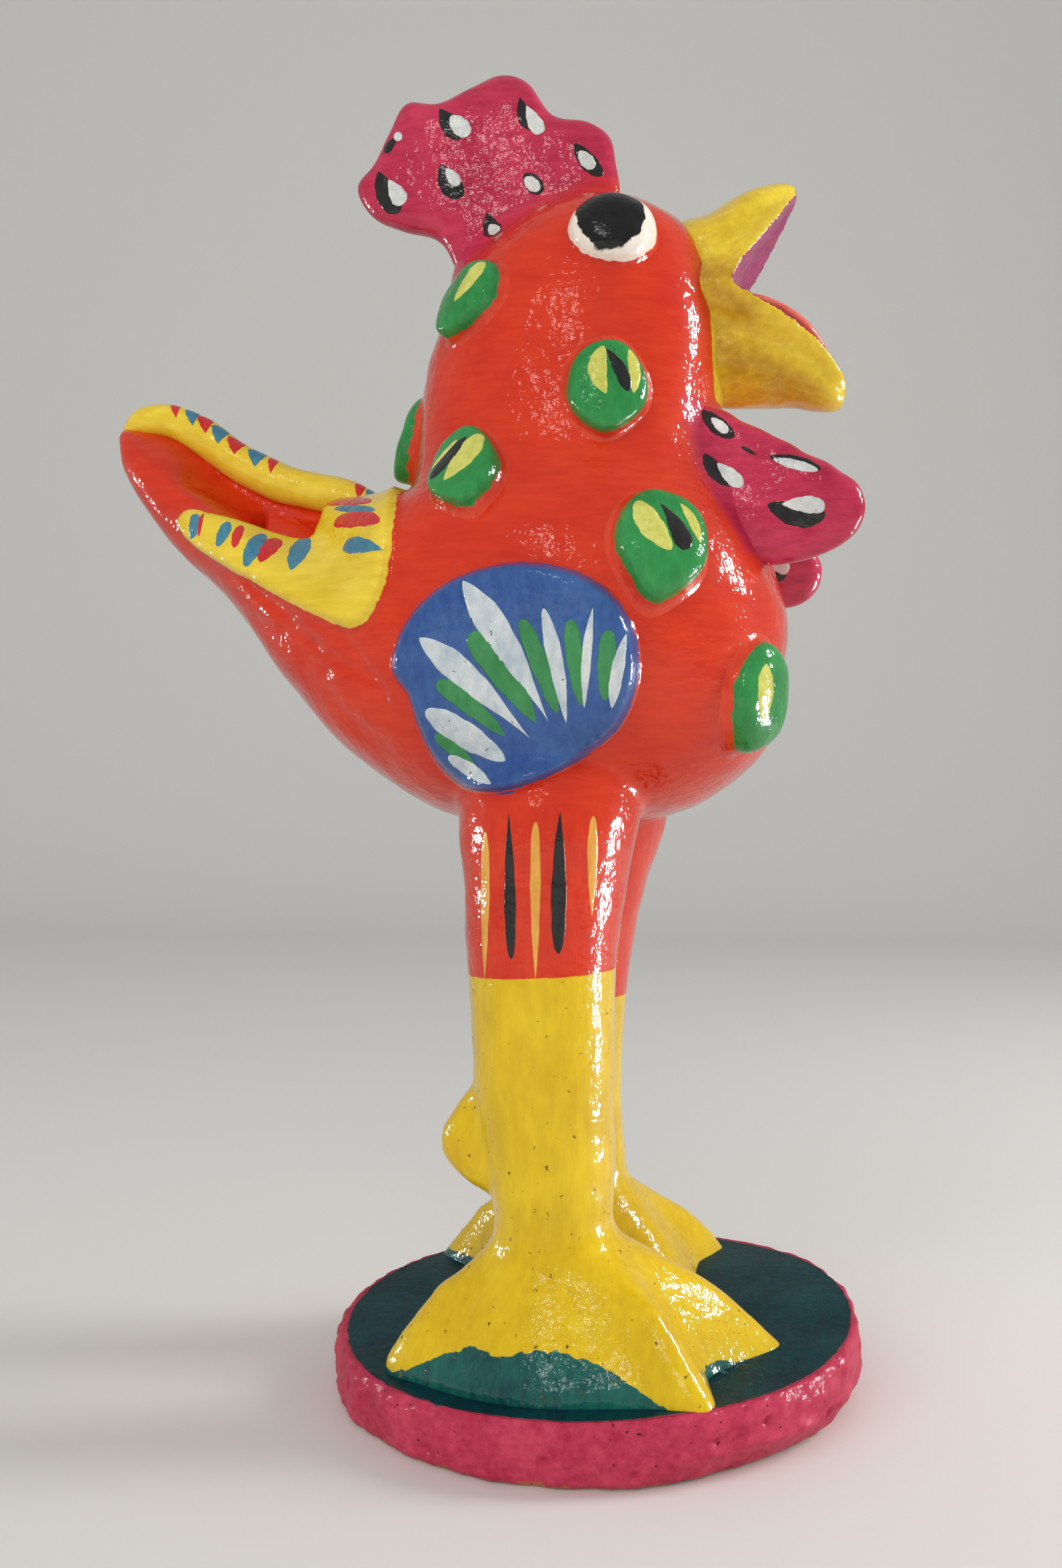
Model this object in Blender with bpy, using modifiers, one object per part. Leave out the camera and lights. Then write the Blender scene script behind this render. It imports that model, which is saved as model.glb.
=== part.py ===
"""Clay rooster figurine, painted and varnished, standing on a round clay base.

The rooster faces +X. It is built as a potter builds it: a round slab for the base, two flared feet,
two rolled legs, a hollow body pressed in two shells that meet along the middle, and small pieces of
clay luted on with slip: comb, beak, tongue, wattles, eyes, wings, raised dots and the rolled edge of
the tail. Lengths are in metres and +Z is up. The origin is the centre of the base's underside.
The rooster's right side is -Y and its left side is +Y.
"""
import bpy
import bmesh
import math
import numpy as np
from mathutils import Matrix, Vector
from mathutils.bvhtree import BVHTree

MM = 0.001

# Joint between two pieces of clay, and the distance within which the points of a rolled or cut piece
# are one point
GAP = 0.0003
WELD = 0.00002

# A pad is pressed on along an aim that starts this far off the skin. Its sides run on into the body,
# to a flat back at the root's depth, before it is cut to the body.
AIM_CLEARANCE = 0.011
DOT_ROOT = 0.004
WING_ROOT = 0.012

# Base
BASE_RADIUS = 0.0402
BASE_THICKNESS = 0.0091
BASE_EDGE_ROUND = 0.0014
BASE_WAVER = 0.0005

# Feet: a flared foot runs from the ankle down to three toes
FOOT_HEIGHT = 0.0176
ANKLE_RADIUS = 0.0081
ANKLE_X = -0.0050
ANKLE_Y = 0.0165
TOE_THICKNESS = 0.0010
INSTEP_FALL = 1.3

# Legs: from the ankle to the hip, then on into the body by the thigh's length. The leg's middle runs
# through these shares of its length, so far forwards and inwards of the ankle, in mm.
LEG_LENGTH = 0.0577
SHIN_RADIUS = 0.0098
KNEE_RADIUS = 0.0108
THIGH_RADIUS = 0.0129
THIGH_LENGTH = 0.0130
LEG_SHARES = (0.0, 0.14, 0.34, 0.64, 0.84, 1.0)
LEG_FORWARDS = {"right": (0.0, 0.0, -1.2, -1.5, -1.3, -0.7), "left": (0.0, 0.0, -2.2, -1.6, 0.2, 1.8)}
LEG_INWARDS = (0.0, 0.0, 0.2, 0.8, 1.4, 2.6)
THIGH_INWARDS = 7.3

# Spur on the back of each leg
SPUR_RISE = 0.0062
SPUR_HEIGHT = 0.0144
SPUR_REACH = 0.0066
SPUR_THICKNESS = 0.0066
SPUR_TILT = 24.0

# Body shell
BODY_WALL = 0.0045
VENT_RADIUS = 0.0025
VENT_DEPTH = 0.030
BODY_FULLNESS = 2.3
TAIL_PINCH_DEPTH = 0.45
HOLLOW_PINCH = 0.6

# Pieces luted on
COMB_THICKNESS = 0.0062
COMB_EDGE_ROUND = 0.0022
WATTLE_THICKNESS = 0.0056
WATTLE_EDGE_ROUND = 0.0022
WATTLE_ROOT_X = 0.0180
WATTLE_ROOT_Z = 0.1380
WATTLE_SPREAD = 0.0105
WATTLE_SPLAY = 6.0
WATTLE_DROOP = {"right": 0.0, "left": 25.0}
WING_THICKNESS = 0.0026
EYE_X = 0.0038
EYE_Z = 0.1690
EYE_LENGTH = 0.0124
EYE_HEIGHT = 0.0108
EYE_BULGE = 0.0038
TAIL_CREST_RADIUS = 0.0027
TAIL_TIP_SHARE = 0.62
TAIL_BAND_THICKNESS = 0.0018
BEAK_HALF_WIDTH = 0.0122
TONGUE_THICKNESS = 0.0022
TONGUE_HALF_WIDTH = 0.0045

# How a pad rises from its edge: shares of its outline, and of its thickness
EYE_PROFILE = [(1.0, 0.1), (0.96, 0.4), (0.82, 0.72), (0.55, 0.94), (0.22, 1.0)]
WING_PROFILE = [(1.0, 0.3), (0.98, 0.75), (0.92, 1.0), (0.7, 1.05), (0.45, 1.1), (0.2, 1.1)]
DOT_PROFILE = [(1.0, 0.2), (0.96, 0.6), (0.84, 0.9), (0.45, 1.0)]

# The cube that holds all of one side, for cutting the body in two
ROOM = 0.4

# Sides of the round pieces' sections
BASE_SIDES = 56
BODY_SIDES = 24
HOLLOW_SIDES = 18
JAW_SIDES = 16
TONGUE_SIDES = 12

# Heights in the tables below are above the ground when the hips are at this height
TABLE_HIP = 0.085
FOOT_BOTTOM = BASE_THICKNESS + GAP
ANKLE_Z = FOOT_BOTTOM + FOOT_HEIGHT
HIP_Z = ANKLE_Z + GAP + LEG_LENGTH
RISE = HIP_Z - TABLE_HIP

SIDES = {"right": -1, "left": 1}

# Body ribs from the crown down the neck, through the breast and belly, and back to the tail's tip.
# Each row is the rib's end on the back line (x, z), its end on the breast line (x, z), its half
# width, and how far its upper edge is pinched into a ridge, from 0 to 1. Lengths in mm.
BODY_RIBS = [
    (-1.4, 179.8, 4.6, 179.5, 3.6, 0.0),
    (-8.0, 177.6, 10.4, 176.8, 11.0, 0.0),
    (-14.2, 173.6, 14.6, 173.4, 16.0, 0.0),
    (-19.2, 168.4, 17.4, 168.0, 18.8, 0.0),
    (-22.8, 162.4, 19.0, 161.4, 20.2, 0.0),
    (-25.1, 155.8, 19.4, 154.4, 20.8, 0.0),
    (-26.5, 149.0, 18.8, 147.6, 21.0, 0.0),
    (-27.1, 143.5, 18.8, 142.4, 21.6, 0.0),
    (-27.5, 139.5, 20.2, 137.0, 22.8, 0.0),
    (-27.9, 136.4, 23.0, 131.0, 24.6, 0.0),
    (-28.8, 134.9, 26.2, 124.0, 26.6, 0.0),
    (-30.0, 134.3, 28.6, 115.3, 28.4, 0.0),
    (-31.2, 133.9, 27.6, 106.0, 29.2, 0.0),
    (-32.4, 133.7, 25.3, 96.2, 28.8, 0.0),
    (-33.8, 133.6, 16.8, 89.0, 27.8, 0.0),
    (-35.4, 133.5, 6.6, 85.2, 26.6, 0.05),
    (-37.2, 133.5, -4.2, 84.2, 25.2, 0.15),
    (-39.2, 133.6, -14.8, 84.8, 23.4, 0.3),
    (-41.6, 133.8, -24.6, 87.6, 21.2, 0.5),
    (-44.6, 134.3, -32.8, 92.2, 18.8, 0.62),
    (-48.2, 135.2, -40.0, 98.2, 16.4, 0.7),
    (-52.2, 136.9, -46.2, 105.4, 14.2, 0.72),
    (-56.6, 139.4, -51.7, 112.7, 12.2, 0.72),
    (-61.0, 142.6, -57.6, 120.2, 10.4, 0.68),
    (-65.4, 145.2, -64.2, 126.2, 8.8, 0.58),
    (-69.4, 146.4, -69.4, 132.0, 7.2, 0.42),
    (-72.8, 147.0, -73.4, 139.2, 5.0, 0.2),
    (-74.6, 147.4, -75.2, 144.6, 2.4, 0.0),
]

# Outlines in the side view, (x, z) in mm
COMB_OUTLINE = [
    (-20.8, 170.6), (-24.8, 175.0), (-30.3, 176.8), (-35.2, 179.2), (-37.4, 183.6), (-34.7, 187.1),
    (-32.2, 192.0), (-29.6, 196.3), (-24.6, 196.0), (-19.4, 198.4), (-14.6, 200.2), (-10.4, 198.4),
    (-6.8, 193.3), (-1.4, 191.9), (2.0, 189.6), (2.8, 185.0), (3.6, 180.0), (2.0, 172.0),
    (-8.0, 168.0), (-16.0, 164.5),
]
WATTLE_OUTLINE = [
    (13.0, 144.6), (17.0, 145.6), (22.1, 143.2), (28.0, 140.0), (33.6, 136.8), (38.2, 134.0),
    (39.4, 130.2), (37.4, 126.2), (32.4, 123.6), (26.0, 122.6), (19.0, 123.6), (12.0, 129.4),
    (9.0, 138.0),
]
WING_OUTLINE = [
    (-25.5, 107.6), (-23.6, 113.0), (-19.4, 117.6), (-13.6, 120.0), (-7.0, 120.6), (-0.4, 119.5),
    (4.6, 116.4), (7.6, 111.4), (8.0, 105.4), (6.0, 99.8), (1.6, 95.9), (-4.4, 92.4),
    (-10.6, 90.8), (-16.6, 91.3), (-20.2, 94.4), (-22.6, 99.4), (-24.6, 104.0),
]
TAIL_BAND_OUTLINE = [
    (-36.4, 138.2), (-31.8, 136.6), (-29.6, 132.0), (-29.2, 126.0), (-29.4, 119.6), (-33.2, 114.2),
    (-41.2, 116.2), (-47.2, 120.4), (-53.2, 123.4), (-58.6, 126.8), (-62.4, 130.0), (-61.6, 132.2),
    (-57.4, 131.2), (-50.4, 129.2), (-44.0, 127.6), (-42.2, 129.6), (-42.0, 134.0), (-40.6, 137.6),
]

# Rolled edge on top of the tail, from its tip to the saddle, (x, z) in mm
TAIL_CREST_PATH = [
    (-74.0, 147.2), (-71.2, 148.8), (-67.0, 148.6), (-62.4, 146.2), (-56.8, 142.4), (-50.8, 139.2),
    (-44.6, 137.4), (-39.2, 136.2), (-35.0, 134.6),
]

# Footprints seen from above: (degrees from +X turned outwards, reach in mm). Toes and webs take turns.
FOOTPRINTS = {
    "right": [
        (-9, 33.4), (2, 27.6), (15, 23.4), (27, 25.2), (39, 28.8), (50, 22.6), (66, 18.6), (90, 17.2),
        (120, 17.2), (148, 19.6), (168, 24.0), (184, 18.6), (205, 15.6), (240, 14.6), (270, 14.8),
        (305, 18.4), (335, 25.2),
    ],
    "left": [
        (-12, 26.0), (2, 23.6), (13, 23.0), (22, 25.0), (32, 29.6), (44, 22.6), (62, 18.6), (90, 17.2),
        (120, 17.2), (142, 20.0), (158, 26.0), (174, 19.4), (200, 15.6), (240, 14.6), (270, 14.8),
        (305, 17.0), (330, 21.4),
    ],
}

# Raised dots on one side: (x that the aim passes through, height, degrees that the aim is turned
# forwards, width, height of the dot, lean in degrees, thickness), lengths in mm
SIDE_DOTS = [
    (-16.6, 160.6, 0.0, 9.4, 12.0, 38.0, 3.0),
    (3.2, 147.0, 0.0, 11.2, 13.0, 8.0, 3.4),
    (-17.2, 136.0, 0.0, 10.6, 13.2, -20.0, 3.6),
    (11.4, 123.6, 0.0, 13.0, 16.0, 10.0, 3.8),
    (-1.0, 103.6, 57.0, 12.4, 15.0, 0.0, 3.4),
]
BACK_DOT = (-1.0, 144.4, -90.0, 11.0, 12.2, 0.0, 4.2)

# Beak: each row is the mouth edge (x, z), the outer ridge (x, z), the half width as a share of
# BEAK_HALF_WIDTH, and how far the middle of the mouth's side rises towards the other jaw, in mm
BEAK_UPPER_STATIONS = [
    (12.0, 162.0, 8.0, 173.0, 0.90, 0.0),
    (17.0, 163.0, 13.4, 176.0, 1.00, 0.0),
    (20.7, 163.2, 17.4, 176.3, 1.00, -1.2),
    (22.6, 166.3, 21.1, 178.1, 0.88, -2.6),
    (26.1, 171.1, 25.2, 180.3, 0.64, -2.4),
    (28.6, 176.4, 28.1, 181.0, 0.32, -1.0),
    (29.7, 179.4, 29.5, 180.7, 0.10, 0.0),
]
BEAK_LOWER_STATIONS = [
    (12.0, 161.4, 9.0, 149.4, 0.90, 0.0),
    (17.0, 162.6, 16.0, 148.7, 1.00, 0.0),
    (20.7, 162.6, 20.4, 148.8, 1.00, 0.8),
    (23.6, 161.4, 24.0, 148.7, 0.96, 0.9),
    (28.2, 159.6, 28.2, 148.5, 0.80, 1.2),
    (32.8, 156.4, 32.4, 147.9, 0.59, 1.6),
    (35.8, 153.2, 35.4, 147.7, 0.38, 1.4),
    (37.3, 150.8, 36.9, 148.2, 0.20, 0.6),
]
TONGUE_PATH = [(21.6, 163.8), (25.6, 162.8), (29.6, 161.1), (33.2, 158.4)]


def millimetres(rows):
    """The rows of a table as an array of metres."""
    return np.array(rows, float) * MM


def smooth_rows(rows, steps, cyclic=False):
    """A Catmull-Rom curve through the rows, with the given number of steps between neighbours."""
    rows = np.array(rows, float)
    if cyclic:
        padded = np.vstack([rows[-1], rows, rows[0], rows[1]])
    else:
        padded = np.vstack([2 * rows[0] - rows[1], rows, 2 * rows[-1] - rows[-2]])
    t = (np.arange(steps) / steps)[:, None]
    spans = []
    for a, b, c, d in zip(padded[:-3], padded[1:-2], padded[2:-1], padded[3:]):
        cubic = 3 * b - a - 3 * c + d
        square = 2 * a - 5 * b + 4 * c - d
        spans.append(b + 0.5 * ((c - a) * t + square * t ** 2 + cubic * t ** 3))
    if not cyclic:
        spans.append(rows[-1:])
    return np.vstack(spans)


def smooth_step(x):
    """Rises from 0 to 1 as x does, level at both ends."""
    x = np.clip(x, 0.0, 1.0)
    return x * x * (3 - 2 * x)


def new_collection(name):
    """A collection in the scene."""
    collection = bpy.data.collections.new(name)
    bpy.context.scene.collection.children.link(collection)
    return collection


def clay_paint(name, hex_colour, roughness=0.3):
    """Painted and varnished clay of one colour."""
    material = bpy.data.materials.new(name)
    material.use_nodes = True
    channels = [int(hex_colour[i:i + 2], 16) / 255 for i in (0, 2, 4)]
    linear = [c / 12.92 if c <= 0.04045 else ((c + 0.055) / 1.055) ** 2.4 for c in channels]
    shader = material.node_tree.nodes["Principled BSDF"]
    shader.inputs["Base Color"].default_value = (*linear, 1.0)
    shader.inputs["Roughness"].default_value = roughness
    shader.inputs["Metallic"].default_value = 0.0
    return material


def add_object(name, mesh, material, collection):
    """A named, smooth-shaded object with one material."""
    mesh.name = name
    mesh.materials.clear()
    mesh.materials.append(material)
    mesh.shade_smooth()
    mesh.set_sharp_from_angle(angle=math.radians(50))
    obj = bpy.data.objects.new(name, mesh)
    collection.objects.link(obj)
    return obj


def add_cutter(name, mesh):
    """An object that only cuts others."""
    obj = bpy.data.objects.new(name, mesh)
    cutters.objects.link(obj)
    obj.hide_render = True
    obj.display_type = "WIRE"
    return obj


def cut(obj, cutter, operation="DIFFERENCE"):
    """Cuts an object with another, exactly."""
    modifier = obj.modifiers.new(cutter.name, "BOOLEAN")
    modifier.operation = operation
    modifier.solver = "EXACT"
    modifier.use_self = True
    modifier.object = cutter


def face_outwards(mesh):
    """Turns the faces of a closed mesh outwards."""
    bm = bmesh.new()
    bm.from_mesh(mesh)
    bmesh.ops.recalc_face_normals(bm, faces=bm.faces)
    bm.to_mesh(mesh)
    bm.free()


def ring_solid(rings):
    """A closed mesh that joins each ring of points to the next and caps both ends."""
    rings = np.array(rings)
    count, sides = rings.shape[:2]
    faces = []
    for k in range(count - 1):
        for j in range(sides):
            here = k * sides + j
            beside = k * sides + (j + 1) % sides
            faces.append((here, beside, beside + sides, here + sides))
    faces.append(tuple(range(sides)))
    faces.append(tuple(range((count - 1) * sides, count * sides)))
    mesh = bpy.data.meshes.new("ring_solid")
    mesh.from_pydata(rings.reshape(-1, 3).tolist(), [], faces)
    face_outwards(mesh)
    return mesh


def curve_mesh(curve, matrix):
    """The closed mesh of a filled curve object, its caps welded and its place applied."""
    obj = bpy.data.objects.new("curve", curve)
    obj.matrix_world = matrix
    cutters.objects.link(obj)
    bpy.context.view_layer.update()
    evaluated = obj.evaluated_get(bpy.context.evaluated_depsgraph_get())
    mesh = bpy.data.meshes.new_from_object(evaluated)
    mesh.transform(obj.matrix_world)
    bpy.data.objects.remove(obj)
    bm = bmesh.new()
    bm.from_mesh(mesh)
    bmesh.ops.remove_doubles(bm, verts=bm.verts, dist=WELD)
    bmesh.ops.recalc_face_normals(bm, faces=bm.faces)
    bm.to_mesh(mesh)
    bm.free()
    return mesh


def plate_mesh(outline, thickness, edge_round, matrix):
    """A flat plate cut to an outline in the side view, with rounded edges, as a closed mesh."""
    curve = bpy.data.curves.new("outline", "CURVE")
    curve.dimensions = "2D"
    curve.fill_mode = "BOTH"
    curve.extrude = thickness / 2 - edge_round
    curve.bevel_depth = edge_round
    curve.bevel_resolution = 1
    curve.offset = -edge_round
    spline = curve.splines.new("POLY")
    spline.points.add(len(outline) - 1)
    for point, (x, z) in zip(spline.points, outline):
        point.co = (x, z, 0.0, 1.0)
    spline.use_cyclic_u = True
    upright = Matrix.Rotation(math.radians(90), 4, "X")
    return curve_mesh(curve, matrix @ upright)


def roll_mesh(points, radii, resolution):
    """A rolled coil of clay along a path of points, with a radius at each, as a closed mesh."""
    curve = bpy.data.curves.new("roll", "CURVE")
    curve.dimensions = "3D"
    curve.bevel_depth = 1.0
    curve.bevel_resolution = resolution
    curve.use_fill_caps = True
    spline = curve.splines.new("POLY")
    spline.points.add(len(points) - 1)
    for point, place, radius in zip(spline.points, points, radii):
        point.co = (*place, 1.0)
        point.radius = radius
    return curve_mesh(curve, Matrix.Identity(4))


def swollen(mesh, distance):
    """A copy of a mesh with each point moved outwards."""
    copy = mesh.copy()
    normals = [vertex.normal.copy() for vertex in copy.vertices]
    for vertex, normal in zip(copy.vertices, normals):
        vertex.co += normal * distance
    return copy


def rib_rings(rows, sides):
    """Rings of points round the ribs.

    With v from 0 on the back line to 1 on the breast line, a point's half width is that of a full
    ellipse of power BODY_FULLNESS, less the pinch, which fades out at TAIL_PINCH_DEPTH.
    """
    angle = np.arange(sides) * 2 * math.pi / sides
    v = (1 - np.cos(angle)) / 2
    full = (1 - np.abs(np.cos(angle)) ** BODY_FULLNESS) ** (1 / BODY_FULLNESS)
    rings = []
    for back_x, back_z, breast_x, breast_z, half_width, pinch in rows:
        squeeze = 1 - pinch * (1 - smooth_step(v / TAIL_PINCH_DEPTH))
        x = back_x + v * (breast_x - back_x)
        z = back_z + v * (breast_z - back_z) + RISE
        y = half_width * full * np.sign(np.sin(angle)) * squeeze
        rings.append(np.column_stack([x, y, z]))
    return rings


def body_rows():
    """The ribs in metres."""
    rows = np.array(BODY_RIBS, float)
    rows[:, :5] *= MM
    return rows


def cavity_rows():
    """Ribs of the hollow: the body's ribs less the wall, left out where the crown or tail is thin."""
    rows = []
    for row in body_rows():
        back = Vector((row[0], row[1]))
        breast = Vector((row[2], row[3]))
        across = (breast - back).normalized() * BODY_WALL
        half_width = row[4] - BODY_WALL
        pinch = row[5]
        if half_width > 2 * BODY_WALL and pinch < HOLLOW_PINCH:
            rows.append((*(back + across), *(breast - across), half_width, pinch / 2))
    return rows


def aimed_frame(through_x, height, turn, side, lean):
    """Frame on the body's skin where a level aim comes out: its origin, and its right, up and out.

    The aim starts inside the body at (through_x, 0, height) and is turned forwards from the side by
    `turn` degrees; `lean` tips the top of the frame forwards.
    """
    direction = Vector((math.sin(math.radians(turn)), side * math.cos(math.radians(turn)), 0.0))
    hit, normal = body_skin.ray_cast(Vector((through_x, 0.0, height)), direction)[:2]
    up = (Vector((0, 0, 1)) - normal * normal.z).normalized()
    right = up.cross(normal) * -side
    tip = math.radians(lean)
    leaned_up = up * math.cos(tip) + right * math.sin(tip)
    leaned_right = right * math.cos(tip) - up * math.sin(tip)
    return hit, leaned_right, leaned_up, normal


def skin_of(*meshes):
    """The surface of several meshes taken together, for aiming at."""
    points = []
    faces = []
    for mesh in meshes:
        first = len(points)
        points += [vertex.co.copy() for vertex in mesh.vertices]
        faces += [[first + index for index in face.vertices] for face in mesh.polygons]
    return BVHTree.FromPolygons(points, faces)


def add_pad(name, frame, outline, profile, thickness, root, material, skin):
    """A pad of clay pressed on a skin and cut to the body.

    The outline is given in the frame. Each row of the profile shrinks it to a share of its size
    and lifts it off the skin by a share of the pad's thickness.
    """
    origin, right, up, out = frame
    back = [origin + right * across + up * along - out * root for across, along in outline]
    rings = [back]
    for share, lift in profile:
        ring = []
        for across, along in outline:
            start = origin + right * (across * share) + up * (along * share)
            hit = skin.ray_cast(start + out * AIM_CLEARANCE, -out)[0]
            if hit is None:
                hit = skin.find_nearest(start)[0]
            ring.append(hit + out * (GAP + lift * thickness))
        rings.append(ring)
    pad = add_object(name, ring_solid(rings), material, figurine)
    cut(pad, body_seat)
    return pad


def ellipse(width, height, sides):
    """Points round an ellipse."""
    angle = np.arange(sides) * 2 * math.pi / sides
    return np.column_stack([np.cos(angle) * width / 2, np.sin(angle) * height / 2])


def make_base():
    """The round slab, cut by hand, so its rim wavers a little."""
    bpy.ops.mesh.primitive_cylinder_add(
        vertices=BASE_SIDES, radius=BASE_RADIUS, depth=BASE_THICKNESS, location=(0, 0, BASE_THICKNESS / 2))
    primitive = bpy.context.object
    mesh = primitive.data
    mesh.transform(Matrix.Translation(primitive.location))
    bpy.data.objects.remove(primitive)
    for vertex in mesh.vertices:
        around = math.atan2(vertex.co.y, vertex.co.x)
        waver = BASE_WAVER * (math.cos(3 * around + 0.3) + 0.5 * math.sin(5 * around))
        stretch = (BASE_RADIUS - waver) / BASE_RADIUS
        vertex.co.x *= stretch
        vertex.co.y *= stretch
    base = add_object("base_disc", mesh, magenta, figurine)
    bevel = base.modifiers.new("worn edge", "BEVEL")
    bevel.width = BASE_EDGE_ROUND
    bevel.segments = 2
    bevel.limit_method = "ANGLE"
    bevel.angle_limit = math.radians(50)


def make_foot(side_name, side):
    """A flared foot: at each height its section is the footprint drawn in towards the ankle."""
    footprint = np.array(FOOTPRINTS[side_name], float)
    closed = np.vstack([footprint, footprint[0] + (360, 0)])
    rows = np.arange(len(closed))
    places = np.arange(0, len(footprint), 0.5)
    turns = np.radians(np.interp(places, rows, closed[:, 0]))
    radii = np.interp(places, rows, closed[:, 1]) * MM
    rings = []
    for share in (0.0, 0.2, 0.4, 0.6, 0.8, 1.0):
        fall = share ** INSTEP_FALL
        height = FOOT_BOTTOM + TOE_THICKNESS + (FOOT_HEIGHT - TOE_THICKNESS) * (1 - fall)
        rings.append((ANKLE_RADIUS + (radii - ANKLE_RADIUS) * share, height))
    rings.append((radii, FOOT_BOTTOM))
    points = [
        np.column_stack([
            ANKLE_X + reach * np.cos(turns),
            side * (ANKLE_Y + reach * np.sin(turns)),
            np.full(len(turns), height),
        ])
        for reach, height in rings
    ]
    return add_object("foot_" + side_name, ring_solid(points), yellow, figurine)


def leg_mesh(side_name, extra):
    """A leg from the ankle to inside the body, thickened by `extra`."""
    forwards = millimetres(LEG_FORWARDS[side_name])
    inwards = millimetres(LEG_INWARDS)
    x = ANKLE_X + np.append(forwards, [forwards[-1], forwards[-1]])
    y = ANKLE_Y - np.append(inwards, [(inwards[-1] + THIGH_INWARDS * MM) / 2, THIGH_INWARDS * MM])
    heights = HIP_Z - LEG_LENGTH * (1 - np.array(LEG_SHARES))
    z = np.append(heights, [HIP_Z + THIGH_LENGTH / 2, HIP_Z + THIGH_LENGTH])
    radii = [
        ANKLE_RADIUS, (3 * ANKLE_RADIUS + SHIN_RADIUS) / 4, SHIN_RADIUS, KNEE_RADIUS,
        (2 * KNEE_RADIUS + THIGH_RADIUS) / 3, THIGH_RADIUS, THIGH_RADIUS, KNEE_RADIUS,
    ]
    path = smooth_rows(np.column_stack([x, SIDES[side_name] * y, z, radii]), 2)
    return roll_mesh(path[:, :3].tolist(), (path[:, 3] + extra).tolist(), 6)


def make_leg(side_name):
    """A rolled leg, its top cut to the belly that it is luted to."""
    leg = add_object("leg_" + side_name, leg_mesh(side_name, 0.0), yellow, figurine)
    cut(leg, body_seat)


def make_spur(side_name, side):
    """The small lobe on the back of a leg, cut to the leg."""
    bm = bmesh.new()
    bmesh.ops.create_uvsphere(bm, u_segments=14, v_segments=9, radius=1.0)
    size = (SPUR_REACH, SPUR_THICKNESS / 2, SPUR_HEIGHT / 2)
    place = Vector((ANKLE_X - SHIN_RADIUS, side * ANKLE_Y, ANKLE_Z + SPUR_RISE + SPUR_HEIGHT / 2))
    tilt = Matrix.Rotation(math.radians(SPUR_TILT), 4, "Y")
    bm.transform(Matrix.Translation(place) @ tilt @ Matrix.Diagonal((*size, 1.0)))
    mesh = bpy.data.meshes.new("spur")
    bm.to_mesh(mesh)
    bm.free()
    spur = add_object("spur_" + side_name, mesh, yellow, figurine)
    cut(spur, leg_seats[side_name])


def make_body():
    """The two shells: the whole form less its hollow and vent, and one side of the middle."""
    hollow = add_cutter("hollow", ring_solid(rib_rings(cavity_rows(), HOLLOW_SIDES)))
    bpy.ops.mesh.primitive_cylinder_add(
        vertices=14, radius=VENT_RADIUS, depth=VENT_DEPTH, location=(ANKLE_X, 0, HIP_Z))
    vent_mesh = bpy.context.object.data
    vent_mesh.transform(Matrix.Translation(bpy.context.object.location))
    bpy.data.objects.remove(bpy.context.object)
    vent = add_cutter("vent", vent_mesh)
    for side_name, side in SIDES.items():
        half = add_object("body_%s_half" % side_name, body_form.copy(), red, figurine)
        bpy.ops.mesh.primitive_cube_add(size=ROOM, location=(0, side * (ROOM + GAP) / 2, HIP_Z))
        room_mesh = bpy.context.object.data
        room_mesh.transform(Matrix.Translation(bpy.context.object.location))
        bpy.data.objects.remove(bpy.context.object)
        cut(half, hollow)
        cut(half, vent)
        cut(half, add_cutter("room_" + side_name, room_mesh), "INTERSECT")


def make_comb():
    """The flat wavy comb, its root cut to the crown."""
    outline = smooth_rows(millimetres(COMB_OUTLINE) + (0, RISE), 2, cyclic=True)
    mesh = plate_mesh(outline, COMB_THICKNESS, COMB_EDGE_ROUND, Matrix.Identity(4))
    comb = add_object("comb", mesh, magenta, figurine)
    cut(comb, body_seat)


def jaw_rings(stations, sign, sides):
    """Rings round a jaw: across the mouth's side from edge to edge, then round the outer ridge.

    With a from -1 to 1 across the mouth, the mouth's side rises by bulge * (1 - a * a). The outer
    side is half an ellipse from one edge over the ridge to the other.
    """
    a = np.linspace(-1, 1, sides // 2, endpoint=False)
    around = np.linspace(0, math.pi, sides // 2, endpoint=False)
    rings = []
    for edge_x, edge_z, ridge_x, ridge_z, share, bulge in stations:
        edge = np.array([edge_x, edge_z])
        ridge = np.array([ridge_x, ridge_z])
        outwards = (edge - ridge) / np.linalg.norm(edge - ridge)
        mouth = edge + np.outer(bulge * (1 - a * a), outwards)
        outer = edge + np.outer(np.sin(around), ridge - edge)
        side_view = np.vstack([mouth, outer])
        half_width = share * BEAK_HALF_WIDTH
        y = np.concatenate([a, np.cos(around)]) * half_width
        z = side_view[:, 1] + sign * GAP / 2
        rings.append(np.column_stack([side_view[:, 0], y, z]))
    return rings


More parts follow.
